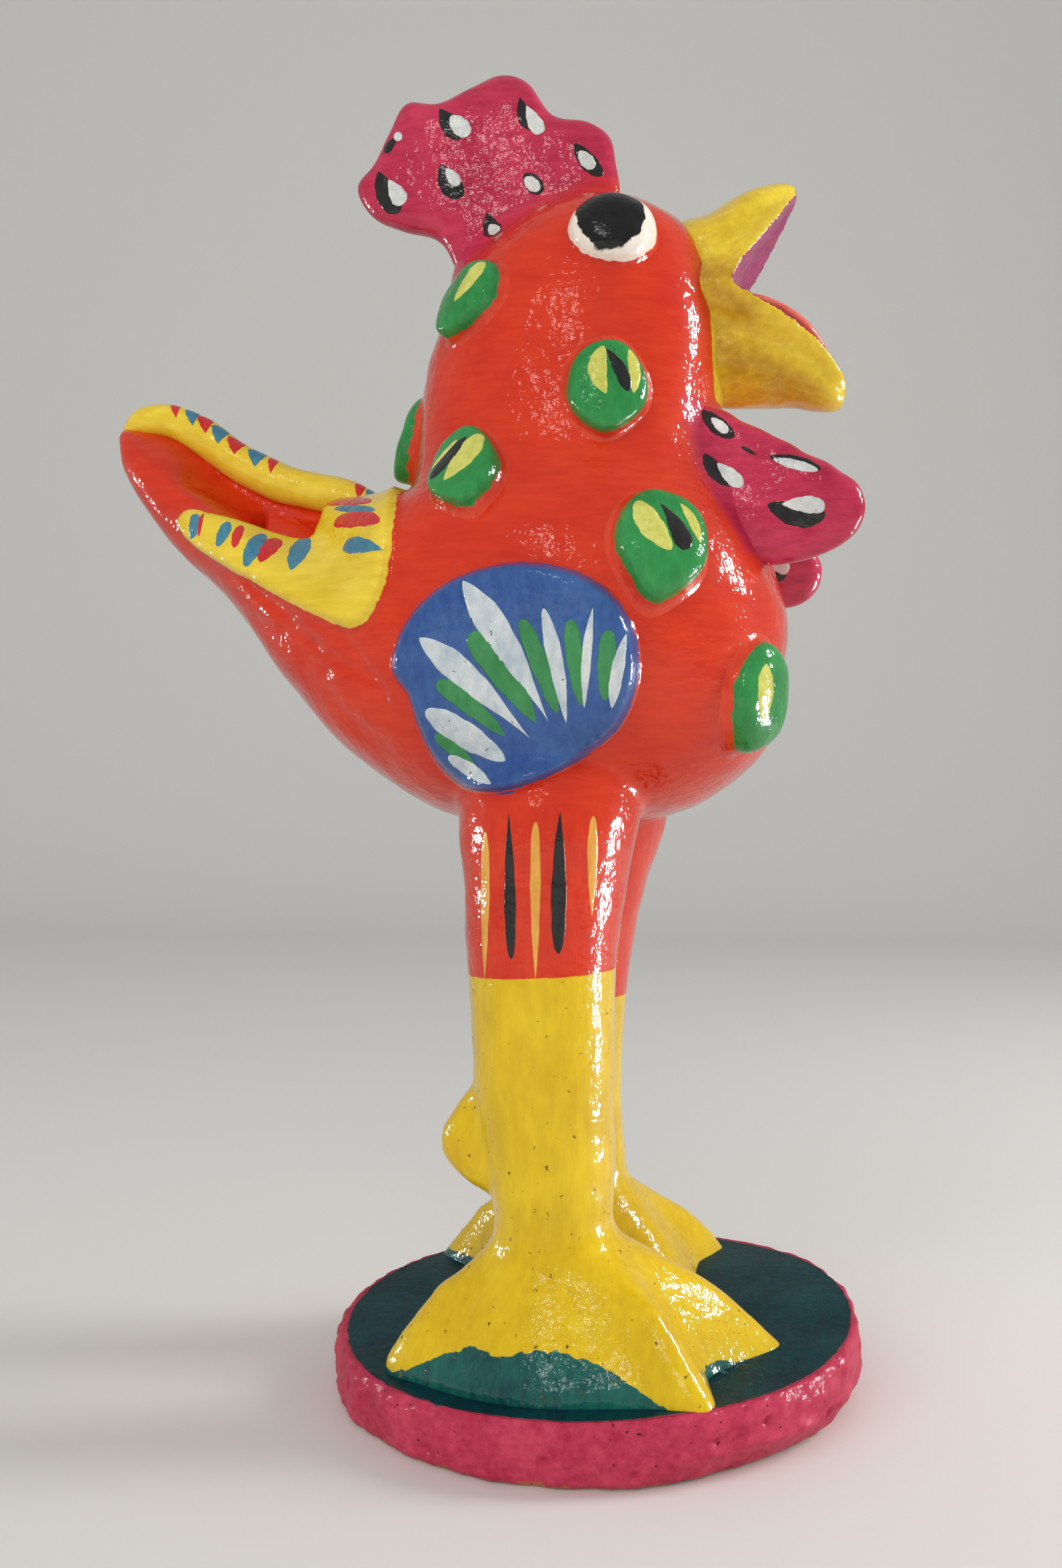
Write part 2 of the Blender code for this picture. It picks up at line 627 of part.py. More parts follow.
def make_beak():
    """The wide open beak and the tongue on its lower jaw."""
    for name, table, sign in (
            ("beak_upper", BEAK_UPPER_STATIONS, 1), ("beak_lower", BEAK_LOWER_STATIONS, -1)):
        stations = np.array(table, float)
        stations[:, [0, 1, 2, 3, 5]] *= MM
        stations[:, [1, 3]] += RISE
        mesh = ring_solid(jaw_rings(smooth_rows(stations, 2), sign, JAW_SIDES))
        jaw = add_object(name, mesh, yellow, figurine)
        cut(jaw, body_seat)
    path = smooth_rows(millimetres(TONGUE_PATH) + (0, RISE), 3)
    shares = np.linspace(0, 1, len(path))
    around = np.arange(TONGUE_SIDES) * 2 * math.pi / TONGUE_SIDES
    rings = []
    for (x, z), share in zip(path, shares):
        taper = math.sqrt(max(1 - share ** 3, 0.02))
        y = TONGUE_HALF_WIDTH * taper * np.cos(around)
        lift = TONGUE_THICKNESS * taper * 0.5 * np.sin(around)
        rings.append(np.column_stack([x + lift * 0.5, y, z + lift]))
    tongue = add_object("tongue", ring_solid(rings), salmon, figurine)
    jaw_seat = swollen(bpy.data.objects["beak_lower"].data, GAP)
    cut(tongue, add_cutter("tongue_seat", jaw_seat))
    cut(tongue, body_seat)


def make_wattle(side_name, side):
    """A flat lobe under the beak, splayed outwards, its root cut to the neck."""
    outline = smooth_rows(millimetres(WATTLE_OUTLINE) + (0, RISE), 2, cyclic=True)
    root = Vector((WATTLE_ROOT_X, side * WATTLE_SPREAD, WATTLE_ROOT_Z + RISE))
    splay = Matrix.Rotation(side * math.radians(WATTLE_SPLAY), 4, "Z")
    droop = Matrix.Rotation(math.radians(WATTLE_DROOP[side_name]), 4, "Y")
    place = Matrix.Translation(root) @ splay @ droop @ Matrix.Translation((-root.x, 0, -root.z))
    mesh = plate_mesh(outline, WATTLE_THICKNESS, WATTLE_EDGE_ROUND, place)
    wattle = add_object("wattle_" + side_name, mesh, magenta, figurine)
    cut(wattle, body_seat)


def make_eye(side_name, side):
    """A raised eye."""
    frame = aimed_frame(EYE_X, EYE_Z + RISE, 0.0, side, 0.0)
    outline = ellipse(EYE_LENGTH, EYE_HEIGHT, 16)
    add_pad("eye_" + side_name, frame, outline, EYE_PROFILE, EYE_BULGE, DOT_ROOT, white, body_skin)


def make_wing(side_name, side):
    """A rounded pad on the flank, pressed over the top of the thigh."""
    outline = smooth_rows(millimetres(WING_OUTLINE), 2, cyclic=True)
    centre = outline.mean(axis=0)
    out = Vector((0, side, 0))
    hit = body_skin.ray_cast(Vector((centre[0], 0.0, centre[1] + RISE)), out)[0]
    frame = (hit, Vector((1, 0, 0)), Vector((0, 0, 1)), out)
    flank = skin_of(body_form, leg_mesh(side_name, 0.0))
    wing = add_pad(
        "wing_" + side_name, frame, outline - centre, WING_PROFILE, WING_THICKNESS, WING_ROOT, blue,
        flank)
    cut(wing, leg_seats[side_name])


def make_dot(name, row, side):
    """A raised dot: a thick disc with a slightly crowned face."""
    through_x, height, turn, width, tall, lean, thickness = row
    frame = aimed_frame(through_x * MM, height * MM + RISE, turn, side, lean)
    outline = ellipse(width * MM, tall * MM, 14)
    add_pad(name, frame, outline, DOT_PROFILE, thickness * MM, DOT_ROOT, green, body_skin)


def make_tail():
    """The rolled edge on top of the tail, and the strip along each side of it."""
    path = smooth_rows(millimetres(TAIL_CREST_PATH) + (0, RISE), 2)
    points = [(x, 0.0, z) for x, z in path]
    shares = np.linspace(0, 1, len(points))
    swell = TAIL_TIP_SHARE + (1 - TAIL_TIP_SHARE) * smooth_step(shares / 0.2)
    radii = (TAIL_CREST_RADIUS * swell).tolist()
    crest = add_object("tail_crest", roll_mesh(points, radii, 2), yellow, figurine)
    cut(crest, body_seat)
    outline = smooth_rows(millimetres(TAIL_BAND_OUTLINE) + (0, RISE), 2, cyclic=True)
    skin = add_cutter("band_skin", swollen(body_form, GAP + TAIL_BAND_THICKNESS))
    roll_seat = add_cutter("crest_seat", roll_mesh(points, [r + GAP for r in radii], 2))
    body_width = 2 * max(row[4] for row in BODY_RIBS) * MM
    for side_name, side in SIDES.items():
        place = Matrix.Translation((0, side * body_width / 2, 0))
        slab = plate_mesh(outline, body_width - 2 * GAP, 0.0, place)
        band = add_object("tail_band_" + side_name, slab, yellow, figurine)
        cut(band, skin, "INTERSECT")
        cut(band, body_seat)
        cut(band, roll_seat)


for leftover in list(bpy.data.objects):
    bpy.data.objects.remove(leftover)

figurine = new_collection("clay_rooster_figurine")
cutters = new_collection("cutters")

red = clay_paint("red paint", "D93A1E")
yellow = clay_paint("yellow paint", "E6C41A")
magenta = clay_paint("magenta paint", "C6315E")
green = clay_paint("green paint", "2E8B47")
blue = clay_paint("blue paint", "3A5FA3")
white = clay_paint("white paint", "E8E4DC")
salmon = clay_paint("salmon paint", "E8766A")

body_form = ring_solid(rib_rings(smooth_rows(body_rows(), 2), BODY_SIDES))
body_skin = skin_of(body_form)
body_seat = add_cutter("body_seat", swollen(body_form, GAP))
leg_seats = {name: add_cutter("leg_seat_" + name, leg_mesh(name, GAP)) for name in SIDES}

make_base()
make_body()
make_comb()
make_beak()
make_tail()
make_dot("dot_back", BACK_DOT, 1)
for side_label, side_sign in SIDES.items():
    make_foot(side_label, side_sign)
    make_leg(side_label)
    make_spur(side_label, side_sign)
    make_wattle(side_label, side_sign)
    make_eye(side_label, side_sign)
    make_wing(side_label, side_sign)
    for number, dot_row in enumerate(SIDE_DOTS, 1):
        make_dot("dot_%s_%d" % (side_label, number), dot_row, side_sign)
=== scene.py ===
"""Clay rooster figurine, shaped by hand, fired, painted with a brush and varnished.

The rooster faces +X and its base stands on z = 0. Sizes are in millimetres until a mesh is made. The
body, legs and feet are smoothed into one skin of clay. The comb, beak, wattles, eyes, wings, dots and
the tail's rolled edge are luted on to it, and the brush strokes are thin films of paint on the clay.
"""
import math

import bmesh
import bpy
import numpy as np
from mathutils import Matrix, Vector


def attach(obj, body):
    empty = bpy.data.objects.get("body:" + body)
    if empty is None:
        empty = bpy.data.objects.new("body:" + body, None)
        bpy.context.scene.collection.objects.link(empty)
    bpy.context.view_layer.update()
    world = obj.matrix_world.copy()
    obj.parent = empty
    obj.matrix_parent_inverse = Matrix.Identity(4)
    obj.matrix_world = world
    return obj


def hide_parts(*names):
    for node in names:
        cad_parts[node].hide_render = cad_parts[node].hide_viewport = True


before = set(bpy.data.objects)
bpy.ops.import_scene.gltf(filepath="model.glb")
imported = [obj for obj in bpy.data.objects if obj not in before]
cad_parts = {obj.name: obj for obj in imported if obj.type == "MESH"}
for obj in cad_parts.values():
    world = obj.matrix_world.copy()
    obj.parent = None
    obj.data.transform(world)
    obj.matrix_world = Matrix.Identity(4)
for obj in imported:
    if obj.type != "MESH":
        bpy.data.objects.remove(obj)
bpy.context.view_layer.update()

# Body, legs and feet
# Fired earthenware: a hollow body pressed in two shells, rolled legs and flared feet. The joints are
# closed with slip and smoothed with a wet thumb, so all of it is one skin. It is painted red down to
# the shins, yellow below, and the clay skirt round the toes is the teal of the base.
MM = 0.001
SIDES = {"right": -1, "left": 1}


def smooth_curve(rows, steps, closed=False):
    """A Catmull-Rom curve through the rows, with the given number of steps between neighbours."""
    rows = np.array(rows, float)
    if closed:
        padded = np.vstack([rows[-1], rows, rows[0], rows[1]])
    else:
        padded = np.vstack([2 * rows[0] - rows[1], rows, 2 * rows[-1] - rows[-2]])
    a, b, c, d = (padded[k:len(padded) - 3 + k][:, None] for k in range(4))
    t = (np.arange(steps) / steps)[None, :, None]
    cubic = 3 * b - a - 3 * c + d
    square = 2 * a - 5 * b + 4 * c - d
    curve = (b + 0.5 * ((c - a) * t + square * t ** 2 + cubic * t ** 3)).reshape(-1, rows.shape[1])
    return curve if closed else np.vstack([curve, rows[-1:]])


def smooth_step(values, start=0.0, span=1.0):
    """With x from 0 at the start to 1 a span further, x * x * (3 - 2 * x): level at both ends."""
    x = np.clip((values - start) / span, 0.0, 1.0)
    return x * x * (3 - 2 * x)


def full_turn(sides):
    """The angles of points spaced evenly round a ring."""
    return np.arange(sides) * 2 * math.pi / sides


# Ribs from the crown down the neck, through the breast and belly, to the tail's tip: the end on the
# back line (x, z), the end on the breast line (x, z), the half width, and how far the upper edge is
# pinched into a ridge, from 0 to 1
BODY_RIBS = [
    (-1.4, 179.8, 4.6, 179.5, 3.6, 0.0),
    (-8.0, 177.6, 10.4, 176.8, 11.0, 0.0),
    (-14.2, 173.6, 14.6, 173.4, 16.0, 0.0),
    (-19.2, 168.4, 17.4, 168.0, 18.8, 0.0),
    (-22.8, 162.4, 19.0, 161.4, 20.2, 0.0),
    (-25.1, 155.8, 19.4, 154.4, 20.8, 0.0),
    (-26.5, 149.0, 18.8, 147.6, 21.0, 0.0),
    (-27.1, 143.5, 18.8, 142.4, 21.6, 0.0),
    (-27.5, 139.5, 20.2, 137.0, 22.8, 0.0),
    (-27.9, 136.4, 23.0, 131.0, 24.6, 0.0),
    (-28.8, 134.9, 26.2, 124.0, 26.6, 0.0),
    (-30.0, 134.3, 28.6, 115.3, 28.4, 0.0),
    (-31.2, 133.9, 27.6, 106.0, 29.2, 0.0),
    (-32.4, 133.7, 25.3, 96.2, 28.8, 0.0),
    (-33.8, 133.6, 16.8, 89.0, 27.8, 0.0),
    (-35.4, 133.5, 6.6, 85.2, 26.6, 0.05),
    (-37.2, 133.5, -4.2, 84.2, 25.2, 0.15),
    (-39.2, 133.6, -14.8, 84.8, 23.4, 0.3),
    (-41.6, 133.8, -24.6, 87.6, 21.2, 0.5),
    (-44.6, 134.3, -32.8, 92.2, 18.8, 0.66),
    (-48.2, 135.2, -40.0, 98.2, 16.4, 0.76),
    (-52.2, 136.9, -46.2, 105.4, 14.2, 0.78),
    (-56.6, 139.4, -51.7, 112.7, 12.2, 0.76),
    (-61.0, 142.6, -57.6, 120.2, 10.4, 0.7),
    (-65.4, 145.2, -64.2, 126.2, 8.8, 0.58),
    (-69.4, 146.4, -69.4, 132.0, 7.2, 0.42),
    (-73.2, 147.0, -73.6, 139.2, 5.0, 0.2),
    (-74.9, 147.3, -75.2, 144.4, 2.6, 0.0),
]
BODY_FULLNESS = 2.3
TAIL_PINCH_DEPTH = 0.45


def rib_rings():
    """Rings round the ribs. With v from 0 on the back line to 1 on the breast line, a point's half
    width is that of a full ellipse of power BODY_FULLNESS, less the pinch, which fades out at
    TAIL_PINCH_DEPTH."""
    back_x, back_z, breast_x, breast_z, half_width, pinch = smooth_curve(BODY_RIBS, 5).T[:, :, None]
    angle = full_turn(96)
    v = (1 - np.cos(angle)) / 2
    full = (1 - np.abs(np.cos(angle)) ** BODY_FULLNESS) ** (1 / BODY_FULLNESS)
    squeeze = 1 - pinch * (1 - smooth_step(v, 0, TAIL_PINCH_DEPTH))
    x = back_x + v * (breast_x - back_x)
    z = back_z + v * (breast_z - back_z)
    y = half_width * full * np.sign(np.sin(angle)) * squeeze
    return np.stack([x, y, z], axis=-1)


# Each leg's middle (height, x, distance from the middle plane) and radius, from the ankle to the hip
LEGS = {
    "right": [
        (20.0, -5.0, 16.5, 8.6), (27.0, -5.0, 16.5, 8.3), (35.1, -5.2, 16.5, 8.8),
        (46.6, -6.2, 16.3, 9.9), (64.0, -6.7, 15.7, 10.7), (75.7, -6.5, 15.1, 11.6),
        (85.0, -6.0, 13.9, 13.0), (92.0, -5.6, 11.8, 13.4), (98.0, -5.2, 9.2, 11.0),
    ],
    "left": [
        (20.0, -5.0, 16.5, 8.6), (27.0, -5.0, 16.5, 8.3), (35.1, -5.8, 16.5, 8.8),
        (46.6, -7.2, 16.3, 9.9), (64.0, -6.6, 15.7, 10.7), (75.7, -4.8, 15.1, 11.6),
        (85.0, -3.2, 13.9, 13.0), (92.0, -3.4, 11.8, 13.4), (98.0, -3.6, 9.2, 11.0),
    ],
}


def leg_rings(side_name):
    """A rolled leg: level circles along its middle line."""
    z, x, apart, radius = smooth_curve(LEGS[side_name], 6).T
    middles = np.column_stack([x, SIDES[side_name] * apart, z])
    angle = full_turn(56)
    ring = np.stack([np.cos(angle), np.sin(angle), 0 * angle], axis=-1)
    return middles[:, None] + radius[:, None, None] * ring


# Footprints round the ankle: degrees from +X turned outwards, and reach. Toes and webs take turns: the
# foot falls away as a web does where it reaches no further than WEB_REACH, and as a toe does from
# TOE_LENGTH further out.
ANKLE = (-5.0, 16.5)
ANKLE_RADIUS = 8.3
INSTEP_TOP = 27.0
TOE_TOP = 10.3
FOOT_ROOT = 7.0
TOE_FALL = 1.55
WEB_FALL = 0.85
WEB_REACH = 16.0
TOE_LENGTH = 12.0
FOOTPRINTS = {
    "right": [
        (-9, 33.4), (2, 27.6), (15, 23.4), (27, 25.2), (39, 28.8), (50, 22.6), (66, 18.6),
        (90, 17.4), (120, 17.2), (148, 19.6), (168, 24.0), (184, 18.6), (205, 15.6), (240, 14.6),
        (270, 14.8), (305, 18.4), (335, 25.2),
    ],
    "left": [
        (-12, 21.5), (2, 21.4), (13, 22.6), (22, 26.4), (30, 29.4), (44, 22.6), (62, 18.6),
        (90, 17.2), (120, 17.2), (142, 20.0), (158, 26.0), (174, 19.4), (200, 15.6), (240, 14.6),
        (270, 14.8), (305, 17.0), (330, 21.4),
    ],
}


def foot_rings(side_name):
    """A flared foot: with s from 0 at the ankle to 1 at the toes, the section is the footprint drawn in
    to the ankle by 1 - s, at a height that falls with a power of s. The power is larger along a toe,
    which leaves a ridge, than along the web between two toes."""
    rows = np.array(FOOTPRINTS[side_name], float)
    round_trip = np.vstack([rows[-1] - (360, 0), rows, rows[0] + (360, 0), rows[1] + (360, 0)])
    steps = 5
    turned, reach = smooth_curve(round_trip, steps)[steps:-steps - 1].T
    turn = np.radians(turned)
    share = np.linspace(0, 1, 16)[:, None]
    radius = ANKLE_RADIUS + (reach[None] - ANKLE_RADIUS) * share
    fall = WEB_FALL + (TOE_FALL - WEB_FALL) * smooth_step(reach, WEB_REACH, TOE_LENGTH)[None]
    height = TOE_TOP + (INSTEP_TOP - TOE_TOP) * (1 - share ** fall)
    radius = np.vstack([radius, reach[None]])
    height = np.vstack([height, np.full((1, len(reach)), FOOT_ROOT)])
    x = ANKLE[0] + radius * np.cos(turn)
    y = SIDES[side_name] * (ANKLE[1] + radius * np.sin(turn))
    return np.stack([x, y, height], axis=-1)


# The lobe on the back of each leg, seen from the side, its root well inside the leg
SPUR_OUTLINE = [
    (-12.6, 49.4), (-16.3, 48.4), (-18.9, 45.3), (-21.0, 42.3), (-21.6, 40.1), (-21.1, 38.0),
    (-19.5, 36.0), (-17.4, 34.2), (-14.8, 32.8), (-11.4, 32.6), (-8.6, 36.0), (-8.0, 41.0),
    (-9.0, 46.5),
]
SPUR_MIDDLE = (-13.0, 41.0)
SPUR_THICKNESS = 7.2
SPUR_SQUARENESS = 2.6


def plate_rings(outline, steps, middle, thickness, squareness):
    """A pillow of clay cut to an outline. With s from 0 at the middle to 1 at the edge, a point lies s
    of the way to the outline and y = thickness / 2 * sqrt(1 - s ** squareness)."""
    outline = smooth_curve(outline, steps, closed=True)
    middle = np.asarray(middle, float)
    one_face = np.sin(np.linspace(0.03, math.pi / 2, 34)) ** 0.8
    s = np.concatenate([one_face, one_face[-2::-1]])
    sign = np.where(np.arange(len(s)) < len(one_face), -1.0, 1.0)
    half = thickness / 2 * np.sqrt(np.clip(1 - s ** squareness, 0, 1)) * sign
    flat = middle + s[:, None, None] * (outline[None] - middle)
    y = half[:, None] + 0 * flat[:, :, 0]
    return np.stack([flat[:, :, 0], y, flat[:, :, 1]], axis=-1)


# Roots of the comb and of a wattle, the part of each slab that was luted in, seen from the side, with
# how square the slab's edge is. A wattle hangs from its root, splayed outwards; the left one drooped
# while it was wet.
COMB_ROOT_OUTLINE = [
    (-21.5, 170.0), (-22.4, 174.0), (-16.0, 181.0), (-8.0, 186.0), (-1.0, 187.4), (0.6, 183.0),
    (0.4, 176.0), (-8.0, 169.0), (-16.0, 166.5),
]
COMB_ROOT_MIDDLE = (-10.0, 176.0)
COMB_ROOT_THICKNESS = 4.9
COMB_SQUARENESS = 7.0
WATTLE_ROOT_OUTLINE = [
    (13.4, 144.0), (17.0, 144.9), (21.0, 142.8), (24.0, 138.0), (22.6, 129.0), (18.6, 125.0),
    (13.0, 130.0), (10.4, 138.0),
]
WATTLE_ROOT_MIDDLE = (16.0, 136.0)
WATTLE_ROOT_THICKNESS = 4.4
WATTLE_SQUARENESS = 6.0
WATTLE_ROOT = (18.0, 10.5, 138.0)
WATTLE_SPLAY = 6.0
WATTLE_DROOP = {"right": 0.0, "left": 25.0}


def wattle_place(side_name):
    """Turns a wattle about its root: first it droops, then it splays outwards."""
    side = SIDES[side_name]
    root = Vector((WATTLE_ROOT[0], side * WATTLE_ROOT[1], WATTLE_ROOT[2]))
    splay = Matrix.Rotation(side * math.radians(WATTLE_SPLAY), 4, "Z")
    droop = Matrix.Rotation(math.radians(WATTLE_DROOP[side_name]), 4, "Y")
    return Matrix.Translation(root) @ splay @ droop @ Matrix.Translation((-root.x, 0, -root.z))


def carried(points, place):
    """Points moved by a 4 x 4 matrix."""
    matrix = np.array(place)
    return points @ matrix[:3, :3].T + matrix[:3, 3]


# Clay that fills the crown and the beak's root: middle, radii and tilt
CROWN_FILLING = ((-11.0, 0, 170.6), (13.6, 7.6, 7.0), -24.0)
BEAK_FILLING = ((9.6, 0, 162.4), (9.6, 12.4, 14.4), 0.0)


def egg_rings(middle, radii, tilt):
    """An egg of clay: rings of an ellipsoid, tilted forwards by `tilt` degrees about the Y axis."""
    along = np.linspace(0.02, math.pi - 0.02, 24)[:, None]
    around = full_turn(40)[None]
    x = radii[0] * np.sin(along) * np.cos(around)
    y = radii[1] * np.sin(along) * np.sin(around)
    z = radii[2] * np.cos(along) + 0 * around
    turn = math.radians(tilt)
    turned_x = x * math.cos(turn) + z * math.sin(turn)
    turned_z = z * math.cos(turn) - x * math.sin(turn)
    return np.stack([turned_x, y, turned_z], axis=-1) + np.asarray(middle, float)


# Grain in which the wet clay joins, and how often the thumb goes over it
SKIN_VOXEL = 0.72
SKIN_THUMB_PASSES = 9


def tube_mesh(name, tubes):
    """Closed mesh of one or more tubes. A tube is a grid of points: the first index runs along it and
    the second round it, and each end closes on the middle of its last ring."""
    points = []
    faces = []
    first = 0
    for tube in tubes:
        tube = np.asarray(tube, float)
        count, sides = tube.shape[:2]
        index = first + np.arange(count * sides).reshape(count, sides)
        beside = np.roll(index, -1, axis=1)
        walls = np.stack([index[:-1], beside[:-1], beside[1:], index[1:]], axis=-1).reshape(-1, 4)
        near = np.full(sides, first + count * sides)
        caps = np.vstack([
            np.stack([beside[0], index[0], near], axis=-1),
            np.stack([index[-1], beside[-1], near + 1], axis=-1)])
        points += [tube.reshape(-1, 3), tube[:1].mean(axis=1), tube[-1:].mean(axis=1)]
        faces += walls.tolist() + caps.tolist()
        first += count * sides + 2
    mesh = bpy.data.meshes.new(name)
    mesh.from_pydata((np.vstack(points) * MM).tolist(), [], faces)
    bm = bmesh.new()
    bm.from_mesh(mesh)
    bmesh.ops.recalc_face_normals(bm, faces=bm.faces)
    bm.to_mesh(mesh)
    bm.free()
    mesh.shade_smooth()
    return mesh


def one_clay(name, mesh, voxel, thumb_passes):
    """Joins overlapping closed shapes into one skin and smooths it."""
    lump = bpy.data.objects.new(name, mesh)
    bpy.context.scene.collection.objects.link(lump)
    joined = lump.modifiers.new("joined", "REMESH")
    joined.mode = "VOXEL"
    joined.voxel_size = voxel * MM
    thumb = lump.modifiers.new("wet thumb", "SMOOTH")
    thumb.factor = 0.5
    thumb.iterations = thumb_passes
    bpy.context.view_layer.update()
    skin = bpy.data.meshes.new_from_object(lump.evaluated_get(bpy.context.evaluated_depsgraph_get()))
    bpy.data.objects.remove(lump)
    skin.shade_smooth()
    return skin


clay_tubes = [rib_rings()]
for side_name, side in SIDES.items():
    clay_tubes.append(leg_rings(side_name))
    clay_tubes.append(foot_rings(side_name))
    spur = plate_rings(SPUR_OUTLINE, 6, SPUR_MIDDLE, SPUR_THICKNESS, SPUR_SQUARENESS)
    clay_tubes.append(spur + (0, side * ANKLE[1], 0))
    root = plate_rings(
        WATTLE_ROOT_OUTLINE, 6, WATTLE_ROOT_MIDDLE, WATTLE_ROOT_THICKNESS, WATTLE_SQUARENESS)
    clay_tubes.append(carried(root, wattle_place(side_name)))
clay_tubes.append(
    plate_rings(COMB_ROOT_OUTLINE, 6, COMB_ROOT_MIDDLE, COMB_ROOT_THICKNESS, COMB_SQUARENESS))
clay_tubes.append(egg_rings(*CROWN_FILLING))
clay_tubes.append(egg_rings(*BEAK_FILLING))
skin_mesh = one_clay("clay_body", tube_mesh("clay_body", clay_tubes), SKIN_VOXEL, SKIN_THUMB_PASSES)

# Seams that a wet thumb rubbed smooth, how far from each it reached, and how that fades. Across the
# crown a distance counts for less, and the seam of a leg lies a little below the instep's top.
CROWN_SEAM = ((-22.0, 170.0), (2.0, 180.0))
CROWN_REACH = 8.0
CROWN_ACROSS = 0.7
WATTLE_SEAM = (16.0, 12.6, 136.5)
WATTLE_REACH = 9.5
ANKLE_SEAM_DROP = 1.0
ANKLE_REACH = 6.0
RUB_FADE = 4.0
RUB_PASSES = 60


def read_points(mesh):
    """The points of a mesh in mm."""
    flat = np.empty(len(mesh.vertices) * 3, dtype=np.float32)
    mesh.vertices.foreach_get("co", flat)
    return flat.reshape(-1, 3).astype(float) / MM


def write_points(mesh, points):
    """Gives the points of a mesh new places, in mm."""
    mesh.vertices.foreach_set("co", (points * MM).astype(np.float32).ravel())
    mesh.update()


def folded(points):
    """The points of the right side laid over those of the left."""
    return np.abs(points) * (0, 1, 0) + points * (1, 0, 1)


def line_distance(places, start, end):
    """Distance of places in the side view from the line between two points."""
    start = np.array(start)
    run = np.array(end) - start
    share = np.clip(((places - start) @ run) / (run @ run), 0, 1)
    return np.linalg.norm(places - start - share[:, None] * run, axis=1)


def rub(mesh, points, weight, passes):
    """Rubs the clay smooth where the weight is high: each point moves half of its weight towards the
    mean of its neighbours, again and again."""
    flat = np.empty(len(mesh.edges) * 2, dtype=np.int32)
    mesh.edges.foreach_get("vertices", flat)
    one, other = flat.reshape(-1, 2).T
    ends = np.concatenate([one, other])
    count = np.bincount(ends, minlength=len(points))[:, None]
    for _ in range(passes):
        across = points[np.concatenate([other, one])]
        total = np.stack([np.bincount(ends, across[:, k], len(points)) for k in range(3)], axis=1)
        points = points + (0.5 * weight)[:, None] * (total / count - points)
    return points


points = read_points(skin_mesh)
from_crown = np.hypot(line_distance(points[:, [0, 2]], *CROWN_SEAM), points[:, 1] * CROWN_ACROSS)
from_wattle = np.linalg.norm(folded(points) - WATTLE_SEAM, axis=1)
from_ankle = np.abs(points[:, 2] - INSTEP_TOP + ANKLE_SEAM_DROP)
rubbed = np.maximum.reduce([
    smooth_step(reach - away, 0, RUB_FADE) for reach, away in (
        (CROWN_REACH, from_crown), (WATTLE_REACH, from_wattle), (ANKLE_REACH, from_ankle))])
points = rub(skin_mesh, points, rubbed, RUB_PASSES)
write_points(skin_mesh, points)

# Strip of the tail that stands proud and is painted yellow, seen from the side. It starts a little
# outside the outline, and fades out at the seam along the middle plane.
TAIL_BAND = [
    (-36.8, 139.6), (-29.8, 138.2), (-27.4, 132.4), (-26.9, 126.0), (-27.6, 119.8), (-29.4, 115.2),
    (-32.8, 113.2), (-37.4, 114.7), (-41.4, 116.6), (-47.2, 119.6), (-53.2, 123.0), (-58.4, 126.2),
    (-61.6, 128.8), (-62.8, 131.2), (-61.0, 132.6), (-57.4, 131.6), (-50.4, 129.4), (-46.2, 128.4),
    (-42.6, 127.8), (-42.2, 129.8), (-42.6, 133.4), (-42.6, 138.2),
]
TAIL_BAND_LIFT = 1.7
TAIL_BAND_EDGE = 1.5
TAIL_BAND_START = 0.35
TAIL_SEAM = 1.5
TAIL_SEAM_FADE = 3.0

# Places where the thumb sank into the clay: start and end in the side view, width, depth. They stay
# off the seam along the middle plane.
GOUGES = [
    ((-61.0, 139.6), (-45.0, 131.4), 3.4, 1.6),
    ((-50.0, 133.2), (-43.4, 131.2), 1.5, 4.6),
    ((-51.0, 121.4), (-39.5, 111.6), 1.0, 0.5),
    ((-50.0, 115.6), (-38.0, 107.6), 1.2, 0.45),
    ((-45.0, 114.0), (-31.0, 106.0), 0.9, 0.5),
    ((-35.0, 112.6), (-28.6, 103.6), 1.0, 0.45),
    ((-42.0, 108.0), (-30.0, 96.0), 1.6, 0.4),
    ((19.0, 116.0), (14.0, 106.0), 3.6, 0.4),
    ((-8.0, 139.0), (12.0, 137.0), 5.0, 0.5),
]
GOUGES_FROM = 0.5

# Unevenness that the hand left, as depth, size and seed of the lumps. It starts above the height
# where the feet meet the base.
SKIN_LUMPS = [(0.22, 13.0, 3), (0.07, 4.5, 4)]
LUMPS_FROM = 8.0
LUMPS_FADE = 4.0


def read_normals(mesh):
    """The outward direction at each point of a mesh."""
    flat = np.empty(len(mesh.vertices) * 3, dtype=np.float32)
    mesh.vertex_normals.foreach_get("vector", flat)
    return flat.reshape(-1, 3).astype(float)


def depth_inside(places, outline):
    """Distance of places in the side view from an outline, positive inside it."""
    outline = np.asarray(outline, float)
    distance = np.full(len(places), np.inf)
    inside = np.zeros(len(places), bool)
    for here, there in zip(outline, np.roll(outline, -1, axis=0)):
        distance = np.minimum(distance, line_distance(places, here, there))
        rise = there[1] - here[1]
        if rise:
            crossing = here[0] + (places[:, 1] - here[1]) * (there[0] - here[0]) / rise
            level = (here[1] > places[:, 1]) != (there[1] > places[:, 1])
            inside ^= level & (places[:, 0] < crossing)
    return np.where(inside, distance, -distance)


def lumps(points, size, seed, waves=14):
    """Uneven clay, from about -1 to 1: a sum of sine waves that run in random directions, with crests
    about `size` mm apart."""
    random = np.random.default_rng(seed)
    directions = random.normal(size=(waves, 3))
    directions /= np.linalg.norm(directions, axis=1)[:, None]
    lengths = size * random.uniform(0.7, 1.5, waves)
    phases = random.uniform(0, 2 * math.pi, waves)
    return np.sin(points @ (directions * 2 * math.pi / lengths[:, None]).T + phases).mean(axis=1) * 2


